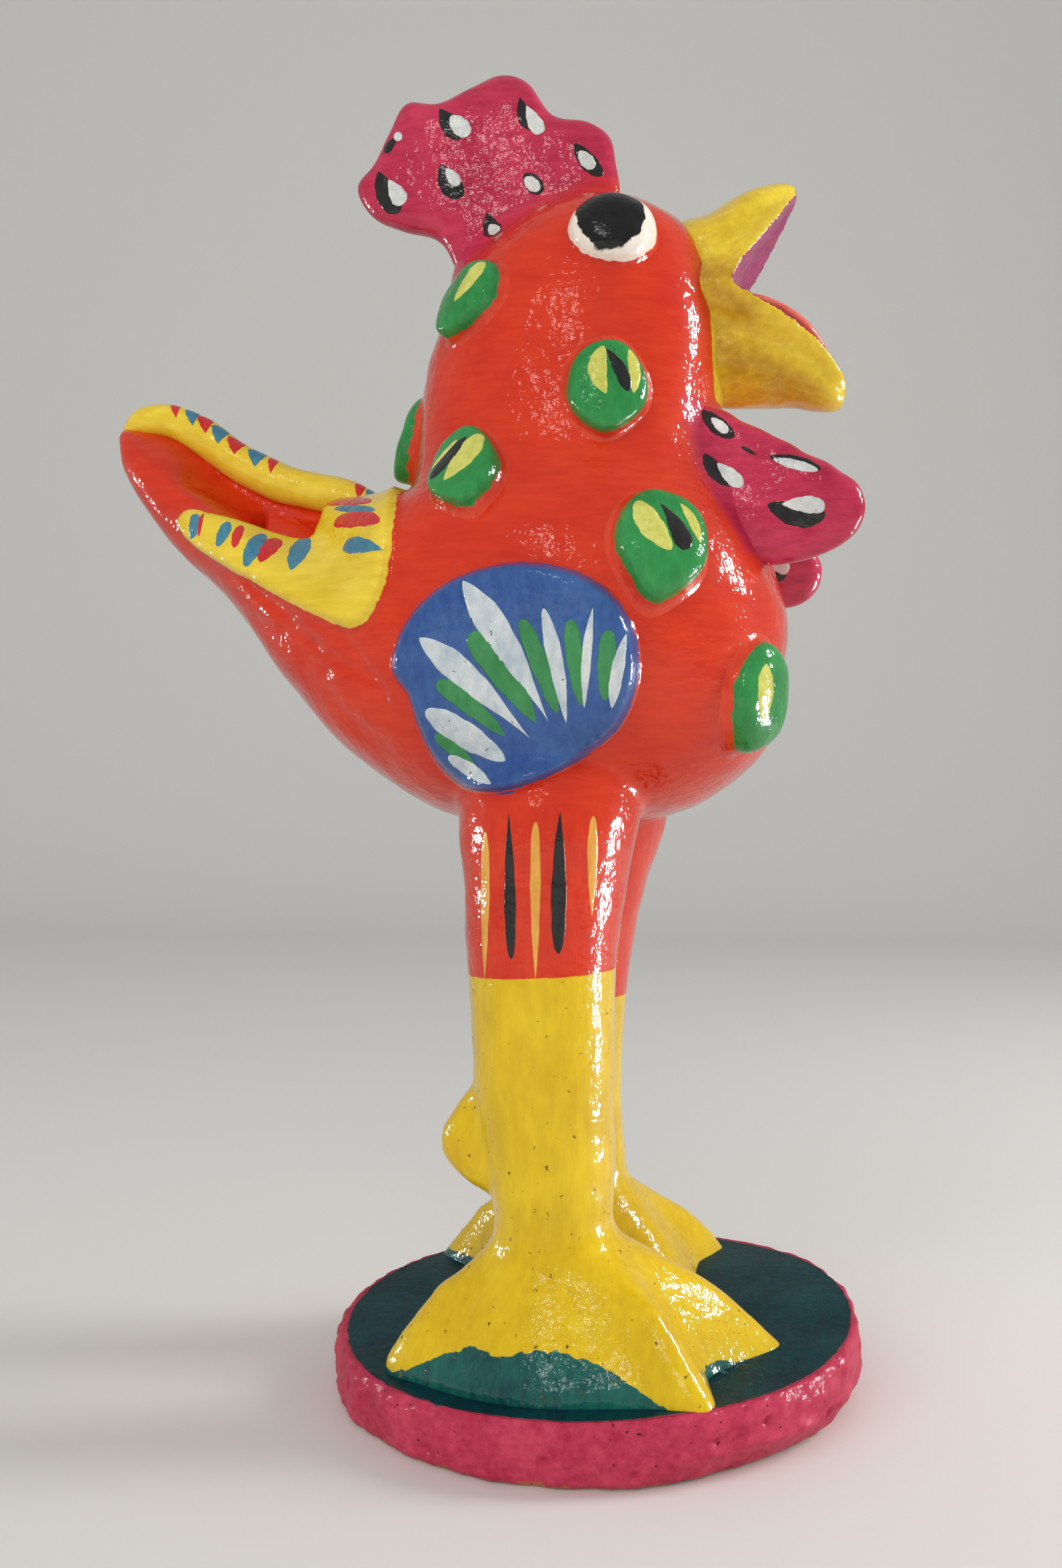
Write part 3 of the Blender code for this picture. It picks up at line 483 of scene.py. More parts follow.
def unevenness(points, rows):
    """Lumps of several sizes, one on top of the other: each row is a depth, a size and a seed."""
    return sum(depth * lumps(points, size, seed) for depth, size, seed in rows)


def dent(away, width):
    """A smooth dent: exp(-(away / width) ** 2), so 1 in its middle and next to 0 at twice its width."""
    return np.exp(-(away / width) ** 2)


outward = read_normals(skin_mesh)
side_view = points[:, [0, 2]]
band_depth = depth_inside(side_view, smooth_curve(TAIL_BAND, 3, closed=True))
lift = TAIL_BAND_LIFT * smooth_step(band_depth / TAIL_BAND_EDGE + TAIL_BAND_START)
lift *= smooth_step(np.abs(points[:, 1]), TAIL_SEAM, TAIL_SEAM_FADE)
for start, end, width, depth in GOUGES:
    off_seam = np.abs(points[:, 1]) > GOUGES_FROM
    lift -= depth * dent(line_distance(side_view, start, end), width) * off_seam
lift += unevenness(points, SKIN_LUMPS)
lift *= smooth_step(points[:, 2], LUMPS_FROM, LUMPS_FADE)
points += lift[:, None] * outward
write_points(skin_mesh, points)

# Height of the yellow paint's lower edge round each foot: degrees as above, and height
SKIRT_LINE = {
    "right": [
        (-9, 9.3), (2, 10.6), (14, 11.6), (27, 10.8), (36, 9.2), (44, 9.2), (54, 12.4), (64, 14.2),
        (78, 15.2), (94, 15.4), (112, 14.2), (130, 14.6), (146, 12.4), (160, 9.3), (176, 9.3),
        (190, 11.6), (230, 12.6), (280, 12.8), (330, 11.2), (351, 9.3),
    ],
    "left": [
        (-9, 12.4), (14, 12.6), (30, 11.4), (60, 14.2), (94, 15.4), (130, 14.6), (158, 12.6),
        (190, 13.4), (230, 13.6), (280, 13.8), (330, 13.0), (351, 12.4),
    ],
}

# Height of the yellow paint's upper edge on each leg, and how it climbs towards the front
STOCKING_LINE = {"right": 64.9, "left": 57.2}
STOCKING_CLIMB = 0.05

# Where the comb's magenta fades into the red of the crown: x and height
CROWN_LINE = [
    (-24.0, 165.0), (-19.0, 169.0), (-14.0, 174.4), (-8.0, 178.6), (-1.0, 181.6), (4.0, 182.6),
]

# Where the red of the head meets the yellow of the beak, and the red of the neck the magenta of the
# wattles: height and x. The yellow starts at a height, and each patch of magenta lies between two
# heights and round a distance from the middle plane.
BEAK_LINE = [
    (146.0, 17.9), (158.5, 17.2), (163.8, 16.6), (167.5, 15.8), (170.3, 14.8), (172.6, 13.4),
    (175.0, 12.0),
]
BEAK_PAINT_FOOT = 147.4
WATTLE_LINE = [(124.0, 22.0), (130.0, 18.4), (136.0, 15.6), (144.0, 13.6)]
WATTLE_PAINT_FOOT = 124.0
WATTLE_PAINT_TOP = 146.2
WATTLE_PAINT_MIDDLE = 11.6
WATTLE_PAINT_REACH = 4.6


def add_mark(mesh, name, values):
    """Stores a number for each point of a mesh, for its paint to read."""
    mark = mesh.attributes.new(name, "FLOAT", "POINT")
    mark.data.foreach_set("value", np.ascontiguousarray(values, dtype=np.float32))


def along_line(values, line):
    """Where a border lies at the given heights or x: its second number at their first."""
    return np.interp(values, *np.transpose(line))


def skirt_depth(points):
    """How far each point lies below the yellow paint's edge round its own foot."""
    away = points[:, 0] - ANKLE[0]
    outwards = np.abs(points[:, 1]) - ANKLE[1]
    turned = (np.degrees(np.arctan2(outwards, away)) + 9) % 360 - 9
    near, far = (along_line(turned, smooth_curve(SKIRT_LINE[name], 4)) for name in ("right", "left"))
    return np.where(points[:, 1] < 0, near, far) - points[:, 2]


leg_line = np.where(points[:, 1] < 0, STOCKING_LINE["right"], STOCKING_LINE["left"])
add_mark(skin_mesh, "stocking", leg_line + STOCKING_CLIMB * points[:, 0] - points[:, 2])
add_mark(skin_mesh, "skirt", skirt_depth(points))
add_mark(skin_mesh, "tail_band", band_depth)
add_mark(skin_mesh, "comb_root", points[:, 2] - along_line(points[:, 0], CROWN_LINE))
add_mark(skin_mesh, "beak_root", np.minimum(
    points[:, 0] - along_line(points[:, 2], BEAK_LINE), points[:, 2] - BEAK_PAINT_FOOT))
add_mark(skin_mesh, "wattle_root", np.minimum.reduce([
    points[:, 0] - along_line(points[:, 2], WATTLE_LINE), WATTLE_PAINT_TOP - points[:, 2],
    points[:, 2] - WATTLE_PAINT_FOOT,
    WATTLE_PAINT_REACH - np.abs(np.abs(points[:, 1]) - WATTLE_PAINT_MIDDLE)]))

# Real sizes of what the brush leaves: bristle marks in the varnish, drawn at the width that still
# shows, the lumps that break up its shine, the streaks of thin paint, the cloudy patches, the waver of
# a border and the pits, which show through where their noise passes PIT_FROM
BRISTLE = 0.3
BRISTLE_DEPTH = 0.034
VARNISH_LUMP = 1.5
LUMP_DEPTH = 0.22
PAINT_STREAK = 1.1
PAINT_CLOUD = 9.0
BORDER_WAVER = 1.6
PIT = 0.9
PIT_FROM = (0.71, 0.75)
PIT_MARGIN = 0.3

# How much a pattern is stretched along x, y and z, the smallest share being the way of the brush. On
# the body it went round, and on the legs, up to the hips, it went up and down.
BRUSHED_UPRIGHT = (1.0, 1.0, 0.22)
BRUSHED_ROUND = (0.22, 0.22, 1.0)
DABBED = (1.0, 1.0, 1.0)
HIP_HEIGHT = 88.0


def linear(hex_colour):
    """An sRGB hex colour as linear red, green, blue and alpha."""
    channels = [int(hex_colour[i:i + 2], 16) / 255 for i in (0, 2, 4)]
    return (*(c / 12.92 if c <= 0.04045 else ((c + 0.055) / 1.055) ** 2.4 for c in channels), 1.0)


def add_node(tree, kind, settings=None, inputs=None):
    """Adds a shader node, with its settings, its sockets' values and its links."""
    node = tree.nodes.new(kind)
    for key, value in (settings or {}).items():
        setattr(node, key, value)
    for key, value in (inputs or {}).items():
        if isinstance(value, bpy.types.NodeSocket):
            tree.links.new(value, node.inputs[key])
        else:
            node.inputs[key].default_value = value
    return node


def varnished_paint(name, dark, light, coats=(), sweep=BRUSHED_UPRIGHT, pits=None, dull=0.36,
                    gloss=0.9, level_above=None):
    """Matt poster paint under a thick clear varnish.

    The paint runs from dark to light in streaks along the sweep, and in clouds. Above the height
    level_above the brush went round the body instead. Each coat is (mark, dark, light, soft edge in
    mm, waver in mm): it lies where the mark is above 0. Pits are (mark, colour): specks of bare clay
    that show where the mark is above 0, or everywhere where the mark is None. The paint has no shine
    of its own; the varnish is smooth but lumpy, so its shine breaks up into glints.
    """
    material = bpy.data.materials.new(name)
    material.use_nodes = True
    tree = material.node_tree
    shader = tree.nodes["Principled BSDF"]
    place = add_node(tree, "ShaderNodeTexCoord").outputs["Object"]
    if level_above:
        height = add_node(tree, "ShaderNodeSeparateXYZ", inputs={0: place}).outputs["Z"]
        above = add_node(tree, "ShaderNodeMath", {"operation": "GREATER_THAN"}, {
            0: height, 1: level_above * MM}).outputs[0]
        sweep = add_node(tree, "ShaderNodeMix", {"data_type": "VECTOR"}, {
            0: above, 4: sweep, 5: BRUSHED_ROUND}).outputs[1]
    swept = add_node(tree, "ShaderNodeMapping", inputs={"Vector": place, "Scale": sweep}).outputs[0]
    streaks = add_node(tree, "ShaderNodeTexNoise", inputs={
        "Vector": swept, "Scale": 1 / (PAINT_STREAK * MM), "Detail": 4.0, "Roughness": 0.6})
    clouds = add_node(tree, "ShaderNodeTexNoise", inputs={
        "Vector": place, "Scale": 1 / (PAINT_CLOUD * MM), "Detail": 3.0})
    blend = add_node(tree, "ShaderNodeMath", {"operation": "ADD"}, {
        0: streaks.outputs["Fac"], 1: clouds.outputs["Fac"]})
    tone = add_node(tree, "ShaderNodeMapRange", inputs={
        "Value": blend.outputs[0], "From Min": 0.72, "From Max": 1.28}).outputs[0]
    colour = add_node(tree, "ShaderNodeMix", {"data_type": "RGBA"}, {
        0: tone, 6: linear(dark), 7: linear(light)}).outputs[2]
    waver = add_node(tree, "ShaderNodeTexNoise", inputs={
        "Vector": place, "Scale": 1 / (BORDER_WAVER * MM), "Detail": 4.0})
    for mark, coat_dark, coat_light, soft, wander in coats:
        depth = add_node(tree, "ShaderNodeAttribute", {"attribute_name": mark}).outputs["Fac"]
        shift = add_node(tree, "ShaderNodeMapRange", inputs={
            "Value": waver.outputs["Fac"], "From Min": 0.25, "From Max": 0.75,
            "To Min": -wander, "To Max": wander}).outputs[0]
        edge = add_node(tree, "ShaderNodeMath", {"operation": "ADD"}, {0: depth, 1: shift}).outputs[0]
        cover = add_node(tree, "ShaderNodeMapRange", inputs={
            "Value": edge, "From Min": -soft / 2, "From Max": soft / 2}).outputs[0]
        coat = add_node(tree, "ShaderNodeMix", {"data_type": "RGBA"}, {
            0: tone, 6: linear(coat_dark), 7: linear(coat_light)}).outputs[2]
        colour = add_node(tree, "ShaderNodeMix", {"data_type": "RGBA"}, {
            0: cover, 6: colour, 7: coat}).outputs[2]
    if pits:
        speck = add_node(tree, "ShaderNodeTexNoise", inputs={
            "Vector": place, "Scale": 1 / (PIT * MM), "Detail": 2.0, "Roughness": 0.4})
        hole = add_node(tree, "ShaderNodeMapRange", inputs={
            "Value": speck.outputs["Fac"], "From Min": PIT_FROM[0], "From Max": PIT_FROM[1]}).outputs[0]
        if pits[0]:
            depth = add_node(tree, "ShaderNodeAttribute", {"attribute_name": pits[0]}).outputs["Fac"]
            shown = add_node(tree, "ShaderNodeMath", {"operation": "GREATER_THAN"}, {
                0: depth, 1: PIT_MARGIN})
            hole = add_node(tree, "ShaderNodeMath", {"operation": "MULTIPLY"}, {
                0: hole, 1: shown.outputs[0]}).outputs[0]
        colour = add_node(tree, "ShaderNodeMix", {"data_type": "RGBA"}, {
            0: hole, 6: colour, 7: linear(pits[1])}).outputs[2]
    bristles = add_node(tree, "ShaderNodeTexNoise", inputs={
        "Vector": swept, "Scale": 1 / (BRISTLE * MM), "Detail": 2.0, "Roughness": 0.55})
    thick = add_node(tree, "ShaderNodeTexNoise", inputs={
        "Vector": place, "Scale": 1 / (VARNISH_LUMP * MM), "Detail": 1.8, "Roughness": 0.5})
    marks = add_node(tree, "ShaderNodeBump", inputs={
        "Height": bristles.outputs["Fac"], "Distance": BRISTLE_DEPTH * MM, "Strength": 1.0})
    skin = add_node(tree, "ShaderNodeBump", inputs={
        "Height": thick.outputs["Fac"], "Distance": LUMP_DEPTH * MM, "Strength": 1.0,
        "Normal": marks.outputs[0]})
    dullness = add_node(tree, "ShaderNodeMapRange", inputs={
        "Value": streaks.outputs["Fac"], "From Min": 0.2, "From Max": 0.8,
        "To Min": dull - 0.06, "To Max": dull + 0.08})
    tree.links.new(colour, shader.inputs["Base Color"])
    tree.links.new(dullness.outputs[0], shader.inputs["Roughness"])
    tree.links.new(marks.outputs[0], shader.inputs["Normal"])
    tree.links.new(skin.outputs[0], shader.inputs["Coat Normal"])
    shader.inputs["Specular IOR Level"].default_value = 0.03
    shader.inputs["Coat Weight"].default_value = gloss
    shader.inputs["Coat Roughness"].default_value = 0.06
    shader.inputs["Coat IOR"].default_value = 1.5
    return material


# Poster paints that several pieces share, darkest and lightest
RED = ("C8280C", "D83812")
PAD_RED = ("C93018", "DC4526")
MAGENTA = ("A6183C", "CA3454")
BEAK_YELLOW = ("D6B020", "EDD03A")
TAIL_YELLOW = ("DDB922", "F0D242")


def add_piece(name, mesh, material, nodes=()):
    """A piece of the figurine: it stands for CAD nodes and rides on the one rigid body."""
    mesh.name = name
    mesh.materials.clear()
    mesh.materials.append(material)
    piece = bpy.data.objects.new(name, mesh)
    bpy.context.scene.collection.objects.link(piece)
    bpy.context.view_layer.update()
    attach(piece, "root")
    if nodes:
        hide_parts(*nodes)
    return piece


# Poster paint on fired clay, brushed thin: each colour is uneven in streaks and clouds, borders waver
# with the hand, and the comb's and wattles' magenta was blended into the red while both were wet
body_paint = varnished_paint(
    "red poster paint under varnish", *RED,
    coats=[
        ("comb_root", *MAGENTA, 4.5, 0.8),
        ("wattle_root", *MAGENTA, 2.0, 0.6),
        ("beak_root", *BEAK_YELLOW, 0.14, 0.12),
        ("tail_band", *TAIL_YELLOW, 0.12, 0.16),
        ("stocking", "D2AA02", "E6C20E", 0.12, 0.12),
        ("skirt", "0E3F42", "1B6A5C", 0.14, 0.4),
    ],
    pits=("stocking", "7A5A1C"), level_above=HIP_HEIGHT)
clay_body = add_piece(
    "clay_body", skin_mesh, body_paint,
    ["body_right_half", "body_left_half", "leg_right", "leg_left", "foot_right", "foot_left",
     "spur_right", "spur_left", "tail_band_right", "tail_band_left"])

# Comb
# A flat slab of clay, cut to a wavy edge with a knife, pinched round and pressed on to the crown.
# Painted magenta, with drops in black that each hold a white one.
COMB_THICKNESS = 6.0
COMB_MIDDLE = (-15.5, 184.0)
COMB_OUTLINE = [
    (-20.8, 168.6), (-24.2, 174.6), (-30.3, 176.8), (-35.2, 179.2), (-37.4, 183.6), (-34.7, 187.1),
    (-32.2, 192.0), (-29.6, 196.2), (-24.6, 196.0), (-19.4, 198.2), (-14.6, 199.9), (-10.4, 198.2),
    (-6.8, 193.4), (-1.4, 191.9), (2.0, 189.4), (2.8, 185.0), (3.4, 180.0), (2.0, 173.0),
    (-8.0, 168.0), (-16.0, 165.5),
]
COMB_SWELL = (0.10, 12.0, 11)
COMB_DENTS = (0.12, 5.0, 12)


def slab_rings(outline, middle, thickness, squareness, swell, dents):
    """A slab cut to an outline and handled while it was wet: its thickness swells and sinks over the
    side view, and dents run across it. Each of the two is lumps of one depth, size and seed."""
    rings = plate_rings(outline, 9, middle, thickness, squareness)
    flat = rings.reshape(-1, 3)
    flat[:, 1] *= 1 + unevenness(flat * (1, 0, 1), [swell])
    flat += unevenness(flat, [dents])[:, None]
    return rings


comb_rings = slab_rings(
    COMB_OUTLINE, COMB_MIDDLE, COMB_THICKNESS, COMB_SQUARENESS, COMB_SWELL, COMB_DENTS)
comb_mesh = tube_mesh("comb_slab", [comb_rings])
points = read_points(comb_mesh)
add_mark(comb_mesh, "root", along_line(points[:, 0], CROWN_LINE) - points[:, 2])

# Poster paint brushed along the slab: streaky magenta that fades into the head's red at the root
comb_paint = varnished_paint(
    "magenta poster paint under varnish", *MAGENTA, coats=[("root", *RED, 4.5, 0.8)],
    sweep=(0.25, 1.0, 1.0))
comb = add_piece("comb_slab", comb_mesh, comb_paint, ["comb"])

# Brush strokes
# A loaded brush is pressed down and drawn away, so a stroke is a drop of thick paint: blunt where the
# brush lands, pointed where it leaves, and a tenth of a millimetre proud of the clay.
FILM = 0.07

# Depth of the film's root in the clay, how fast the film thickens with its width, half the width of a
# stroke's ends, and the hand's waver as a share of the width
FILM_ROOT = 0.10
FILM_SLOPE = 1.6
THINNEST_STROKE = 0.004
HAND_WAVER = 0.045

# How far off the clay a brush is held before it is pressed on, and the height left where it missed
STANDOFF = 14.0
MISSED_FROM = STANDOFF - 0.01


def view_frame(place, out, lean=0.0):
    """A frame on the clay: right is forwards, up is up, out leaves the clay; lean tips it forwards."""
    out = Vector(out).normalized()
    up = (Vector((0, 0, 1)) - out * out.z).normalized()
    right = up.cross(out)
    if right.x < 0:
        right = -right
    tip = math.radians(lean)
    leaned_up = up * math.cos(tip) + right * math.sin(tip)
    leaned_right = right * math.cos(tip) - up * math.sin(tip)
    columns = Matrix((leaned_right, leaned_up, out)).transposed().to_4x4()
    return Matrix.Translation(Vector(place) * MM) @ columns


def press_on(places, aim, *clays):
    """Drops points of a frame's plane, in mm, against its out axis until they meet one of the pieces."""
    mesh = bpy.data.meshes.new("press")
    mesh.vertices.add(len(places))
    write_points(mesh, np.column_stack([places, np.full(len(places), STANDOFF)]))
    presser = bpy.data.objects.new("press", mesh)
    presser.matrix_world = aim
    bpy.context.scene.collection.objects.link(presser)
    wrap = presser.modifiers.new("press", "SHRINKWRAP")
    wrap.wrap_method = "PROJECT"
    wrap.use_project_z = True
    wrap.use_negative_direction = True
    wrap.use_positive_direction = False
    heights = np.full(len(places), -np.inf)
    found = np.empty(len(places) * 3, dtype=np.float32)
    for clay in clays:
        wrap.target = clay
        bpy.context.view_layer.update()
        pressed = presser.evaluated_get(bpy.context.evaluated_depsgraph_get()).data
        pressed.vertices.foreach_get("co", found)
        height = found.reshape(-1, 3)[:, 2] / MM
        heights = np.maximum(heights, np.where(height > MISSED_FROM, -np.inf, height))
    heights[np.isinf(heights)] = heights[np.isfinite(heights)].min()
    bpy.data.objects.remove(presser)
    bpy.data.meshes.remove(mesh)
    landed = np.column_stack([places, heights]) @ np.array(aim.to_3x3()).T
    return landed + np.array(aim.translation) / MM


def stroke_rings(start, end, width, heel, tip, bend, aim, *clays):
    """One stroke. With u from 0 where the brush lands to 1 where it leaves, the half width is
    width / 2 * u ** heel * (1 - u) ** tip, scaled to peak at width / 2 and wavered by the hand, and the
    middle line bows sideways by 4 * bend * u * (1 - u). Its section is a low dome, lower where the
    stroke is narrow."""
    start = np.array(start, float)
    run = np.array(end, float) - start
    across = np.array((-run[1], run[0])) / np.linalg.norm(run)
    u = (1 - np.cos(np.linspace(0.0, math.pi, 30))) / 2
    peak = heel / (heel + tip)
    half = width / 2 * u ** heel * (1 - u) ** tip / (peak ** heel * (1 - peak) ** tip)
    hand = np.sin(u * 19 + start[0]) + 0.6 * np.sin(u * 41 + start[1])
    half = np.maximum(half * (1 + HAND_WAVER * hand), THINNEST_STROKE)
    around = full_turn(14)
    spread = np.cos(around)[None] * half[:, None] + (4 * bend * u * (1 - u))[:, None]
    places = start + u[:, None, None] * run + spread[:, :, None] * across
    landed = press_on(places.reshape(-1, 2), aim, *clays).reshape(*spread.shape, 3)
    full = np.minimum(half / half.max() * FILM_SLOPE, 1.0)[:, None]
    rise = np.where(np.sin(around) > 0, FILM * np.sqrt(np.abs(np.sin(around))), -FILM_ROOT)[None] * full
    return landed + rise[:, :, None] * np.array(aim.to_3x3().col[2])


def paint_strokes(name, strokes, aim, clays, material, lift=0.0):
    """Strokes of one paint on the pieces, each (start, end, width, heel, tip, bend), lifted by a share
    of the film's thickness where they cross other strokes."""
    over = lift * FILM * np.array(aim.to_3x3().col[2])
    tubes = [stroke_rings(*stroke, aim, *clays) + over for stroke in strokes]
    return add_piece(name, tube_mesh(name, tubes), material)


# Poster paint laid on thickly: the black is even, and the white is dabbed, cloudy and pinholed
black_paint = varnished_paint("black poster paint under varnish", "151515", "2A2928", dull=0.3)
white_paint = varnished_paint(
    "white poster paint under varnish", "BFC3C1", "E2E2DA", sweep=DABBED, pits=(None, "4A443C"))

# How far the white lies over the black, as a share of the film's thickness
OVER = 0.8

# Drops on the comb, seen from the side: black ones, then the white ones inside them. Each is where the
# brush landed and left, width, bluntness of both ends, and bow.
COMB_BLACK = [
    ((-24.0, 194.4), (-20.4, 189.5), 3.2, 0.9, 0.5, -0.2),
    ((-11.6, 195.3), (-9.6, 190.2), 2.4, 0.9, 0.5, -0.3),
    ((-30.9, 190.6), (-32.6, 188.2), 1.7, 0.8, 0.5, 0.0),
    ((-33.6, 185.3), (-30.4, 178.7), 3.4, 0.8, 0.5, -0.4),
    ((-23.8, 185.6), (-20.6, 180.4), 3.4, 0.8, 0.5, -0.3),
    ((-10.9, 183.6), (-8.2, 180.6), 2.6, 0.6, 0.5, 0.0),
    ((-3.3, 188.0), (0.8, 183.0), 2.7, 0.7, 0.5, -0.2),
    ((-16.6, 178.0), (-14.6, 173.4), 3.0, 0.9, 0.45, -0.3),
]
COMB_WHITE = [
    ((-22.2, 193.0), (-19.4, 189.8), 2.8, 0.6, 0.45, 0.0),
    ((-10.6, 194.0), (-8.4, 189.6), 2.4, 0.9, 0.4, 0.0),
    ((-31.0, 191.2), (-30.0, 189.8), 1.4, 0.5, 0.5, 0.0),
    ((-31.9, 183.8), (-29.6, 179.9), 2.7, 0.9, 0.4, 0.0),
    ((-22.9, 184.9), (-20.9, 182.3), 1.9, 0.7, 0.45, 0.0),
    ((-10.8, 183.0), (-8.6, 181.0), 2.0, 0.5, 0.45, 0.0),
    ((-2.6, 186.8), (-0.4, 184.0), 2.2, 0.7, 0.5, 0.0),
    ((-16.2, 176.1), (-14.6, 173.8), 2.0, 0.7, 0.4, 0.0),
]
for side_name, side in SIDES.items():
    comb_side = view_frame((0, side * COMB_THICKNESS / 2, 0), (0, side, 0))
    clays = (comb, clay_body)
    paint_strokes("comb_black_" + side_name, COMB_BLACK, comb_side, clays, black_paint)
    paint_strokes("comb_white_" + side_name, COMB_WHITE, comb_side, clays, white_paint, OVER)

# Beak and tongue
# Two jaws of clay, gaping wide, with a flat tongue. The thumb pinched their edges sharp and drew their
# sides in a little. Yellow outside, magenta inside. Each station is the mouth's edge (x, z), the outer
# ridge (x, z), the half width, and how far the mouth's middle stands out of the plane of its edges.
UPPER_JAW = [
    (8.0, 161.4, 4.0, 171.0, 11.0, 0.0),
    (15.4, 162.2, 11.6, 175.4, 12.0, 0.0),
    (19.6, 163.0, 16.4, 176.6, 12.2, -0.6),
    (22.0, 166.9, 20.4, 178.9, 10.8, -2.2),
    (25.5, 171.6, 24.2, 180.8, 8.0, -2.2),
    (28.4, 176.2, 27.3, 181.1, 4.6, -1.0),
    (29.9, 178.7, 29.5, 180.8, 2.1, 0.0),
]
LOWER_JAW = [
    (8.0, 163.6, 4.0, 150.4, 11.0, 0.0),
    (15.4, 164.2, 14.8, 148.6, 12.0, 0.0),
    (19.6, 163.6, 19.4, 148.1, 12.2, -0.6),
    (23.2, 161.8, 23.6, 148.0, 11.8, -0.9),
    (28.1, 159.2, 28.2, 147.9, 9.9, -0.9),
    (32.8, 156.0, 32.4, 147.2, 7.3, -0.5),
    (35.8, 152.8, 35.2, 146.9, 4.9, -0.3),
    (37.3, 150.3, 36.7, 147.4, 2.5, 0.0),
]
BEAK_VOXEL = 0.42
BEAK_THUMB_PASSES = 5
BEAK_LUMPS = [(0.16, 7.0, 21), (0.05, 2.6, 22)]

# How deeply the thumb drew a jaw's side in, and where: share of the way from edge to ridge, and reach
JAW_HOLLOW = 0.22
JAW_HOLLOW_AT = 0.42
JAW_HOLLOW_REACH = 0.2


def jaw_rings(stations):
    """Rings round a jaw. The first part of a ring crosses the mouth with a from -1 to 1 and a rise of
    bulge * (1 - a * a). The rest is half an ellipse over the outer ridge, drawn in by the thumb."""
    edge_x, edge_z, ridge_x, ridge_z, half_width, bulge = smooth_curve(stations, 8).T[:, :, None]
    a = np.linspace(-1, 1, 20, endpoint=False)[None]
    around = np.linspace(0, math.pi, 40, endpoint=False)[None]
    length = np.hypot(edge_x - ridge_x, edge_z - ridge_z)
    rise = bulge * (1 - a ** 2) / length
    over = np.sin(around)
    hollow = 1 - JAW_HOLLOW * dent(over - JAW_HOLLOW_AT, JAW_HOLLOW_REACH)
    x = np.hstack([edge_x + rise * (edge_x - ridge_x), edge_x + over * (ridge_x - edge_x)])
    z = np.hstack([edge_z + rise * (edge_z - ridge_z), edge_z + over * (ridge_z - edge_z)])
    y = half_width * np.hstack([a + 0 * length, np.cos(around) * hollow + 0 * length])
    return np.stack([x, y, z], axis=-1)


# Lines along which brown painted shade darkens the yellow, how wide, how softly and how wavering: at
# the jaws' corner, along the face, and in the lower jaw's dip, where the clay falls into shade
BEAK_SHADE_LINES = [
    ((13.0, 165.5), (20.0, 164.4)), ((11.0, 160.0), (12.5, 149.0)), ((15.5, 157.0), (21.5, 152.5)),
    ((9.0, 175.0), (12.5, 168.0)), ((23.0, 153.0), (31.5, 149.6)), ((17.6, 162.6), (21.4, 159.8)),
]
SHADE_REACH = 2.2
SHADE_FADE = 4.2
SHADE_WAVER = 0.9

# The mouth's edge starts at one of a jaw's stations, and its paint in front of an x. Clay belongs to it
# where it faces the way that the inside of its jaw faces, on its jaw's side of a height and within a
# distance of the height of the jaw's middle station.
MOUTH_START = 2
JAW_MIDDLE = 3
MOUTH_BACK = 19.0
MOUTH_FACING = 0.55
MOUTH_REACH = 16.0
UPPER_MOUTH_FACES = (0.87, -0.5)
UPPER_MOUTH_FOOT = 163.0
LOWER_MOUTH_FACES = (0.37, 0.93)
LOWER_MOUTH_TOP = 164.2
FAR_FROM_MOUTH = -9.0


def mouth_depth(points, outward):
    """How far each point lies inside the mouth's edge: its distance from the edge of the jaws, taken as
    positive where the clay faces the other jaw."""
    depth = np.full(len(points), FAR_FROM_MOUTH)
    height = points[:, 2]
    for stations, inside_faces, its_half in (
            (UPPER_JAW, UPPER_MOUTH_FACES, height > UPPER_MOUTH_FOOT),
            (LOWER_JAW, LOWER_MOUTH_FACES, height <= LOWER_MOUTH_TOP)):
        edge_x, edge_z, _, _, half_width, _ = smooth_curve(stations[MOUTH_START:], 12).T
        away = np.full(len(points), np.inf)
        for place in np.column_stack([edge_x, half_width, edge_z]):
            away = np.minimum(away, np.linalg.norm(folded(points) - place, axis=1))
        in_mouth = (outward[:, [0, 2]] @ np.array(inside_faces) > MOUTH_FACING) & its_half
        in_mouth &= points[:, 0] > MOUTH_BACK
        in_mouth &= np.abs(height - stations[JAW_MIDDLE][1]) < MOUTH_REACH
        depth = np.maximum(depth, np.where(in_mouth, away, -away))
    return depth


beak_tubes = [jaw_rings(UPPER_JAW), jaw_rings(LOWER_JAW)]
beak_mesh = one_clay("beak", tube_mesh("beak", beak_tubes), BEAK_VOXEL, BEAK_THUMB_PASSES)
points = read_points(beak_mesh)
outward = read_normals(beak_mesh)
add_mark(beak_mesh, "mouth", mouth_depth(points, outward))
points += unevenness(points, BEAK_LUMPS)[:, None] * outward
write_points(beak_mesh, points)
# Painted shade: brown where the beak's creases and hollows fall into shade
shade_distances = [line_distance(points[:, [0, 2]], *ends) for ends in BEAK_SHADE_LINES]
add_mark(beak_mesh, "painted_shade", SHADE_REACH - np.minimum.reduce(shade_distances))

# Poster paint dabbed on: cloudy yellow, brown painted shade in its creases, and a violet mouth
beak_paint = varnished_paint(
    "ochre yellow poster paint under varnish", *BEAK_YELLOW, sweep=DABBED, coats=[
        ("painted_shade", "AC7E10", "C89A1C", SHADE_FADE, SHADE_WAVER), ("mouth", "8E2A5C", "B23A70", 0.3, 0.2)])
add_piece("beak_jaws", beak_mesh, beak_paint, ["beak_upper", "beak_lower"])

# Middle line of the tongue (x, z) and its half width
TONGUE = [
    (18.4, 163.4, 4.2), (22.6, 163.5, 4.6), (26.8, 162.2, 4.6), (31.0, 159.5, 4.0), (34.4, 155.9, 2.4),
]
TONGUE_THICKNESS = 2.2


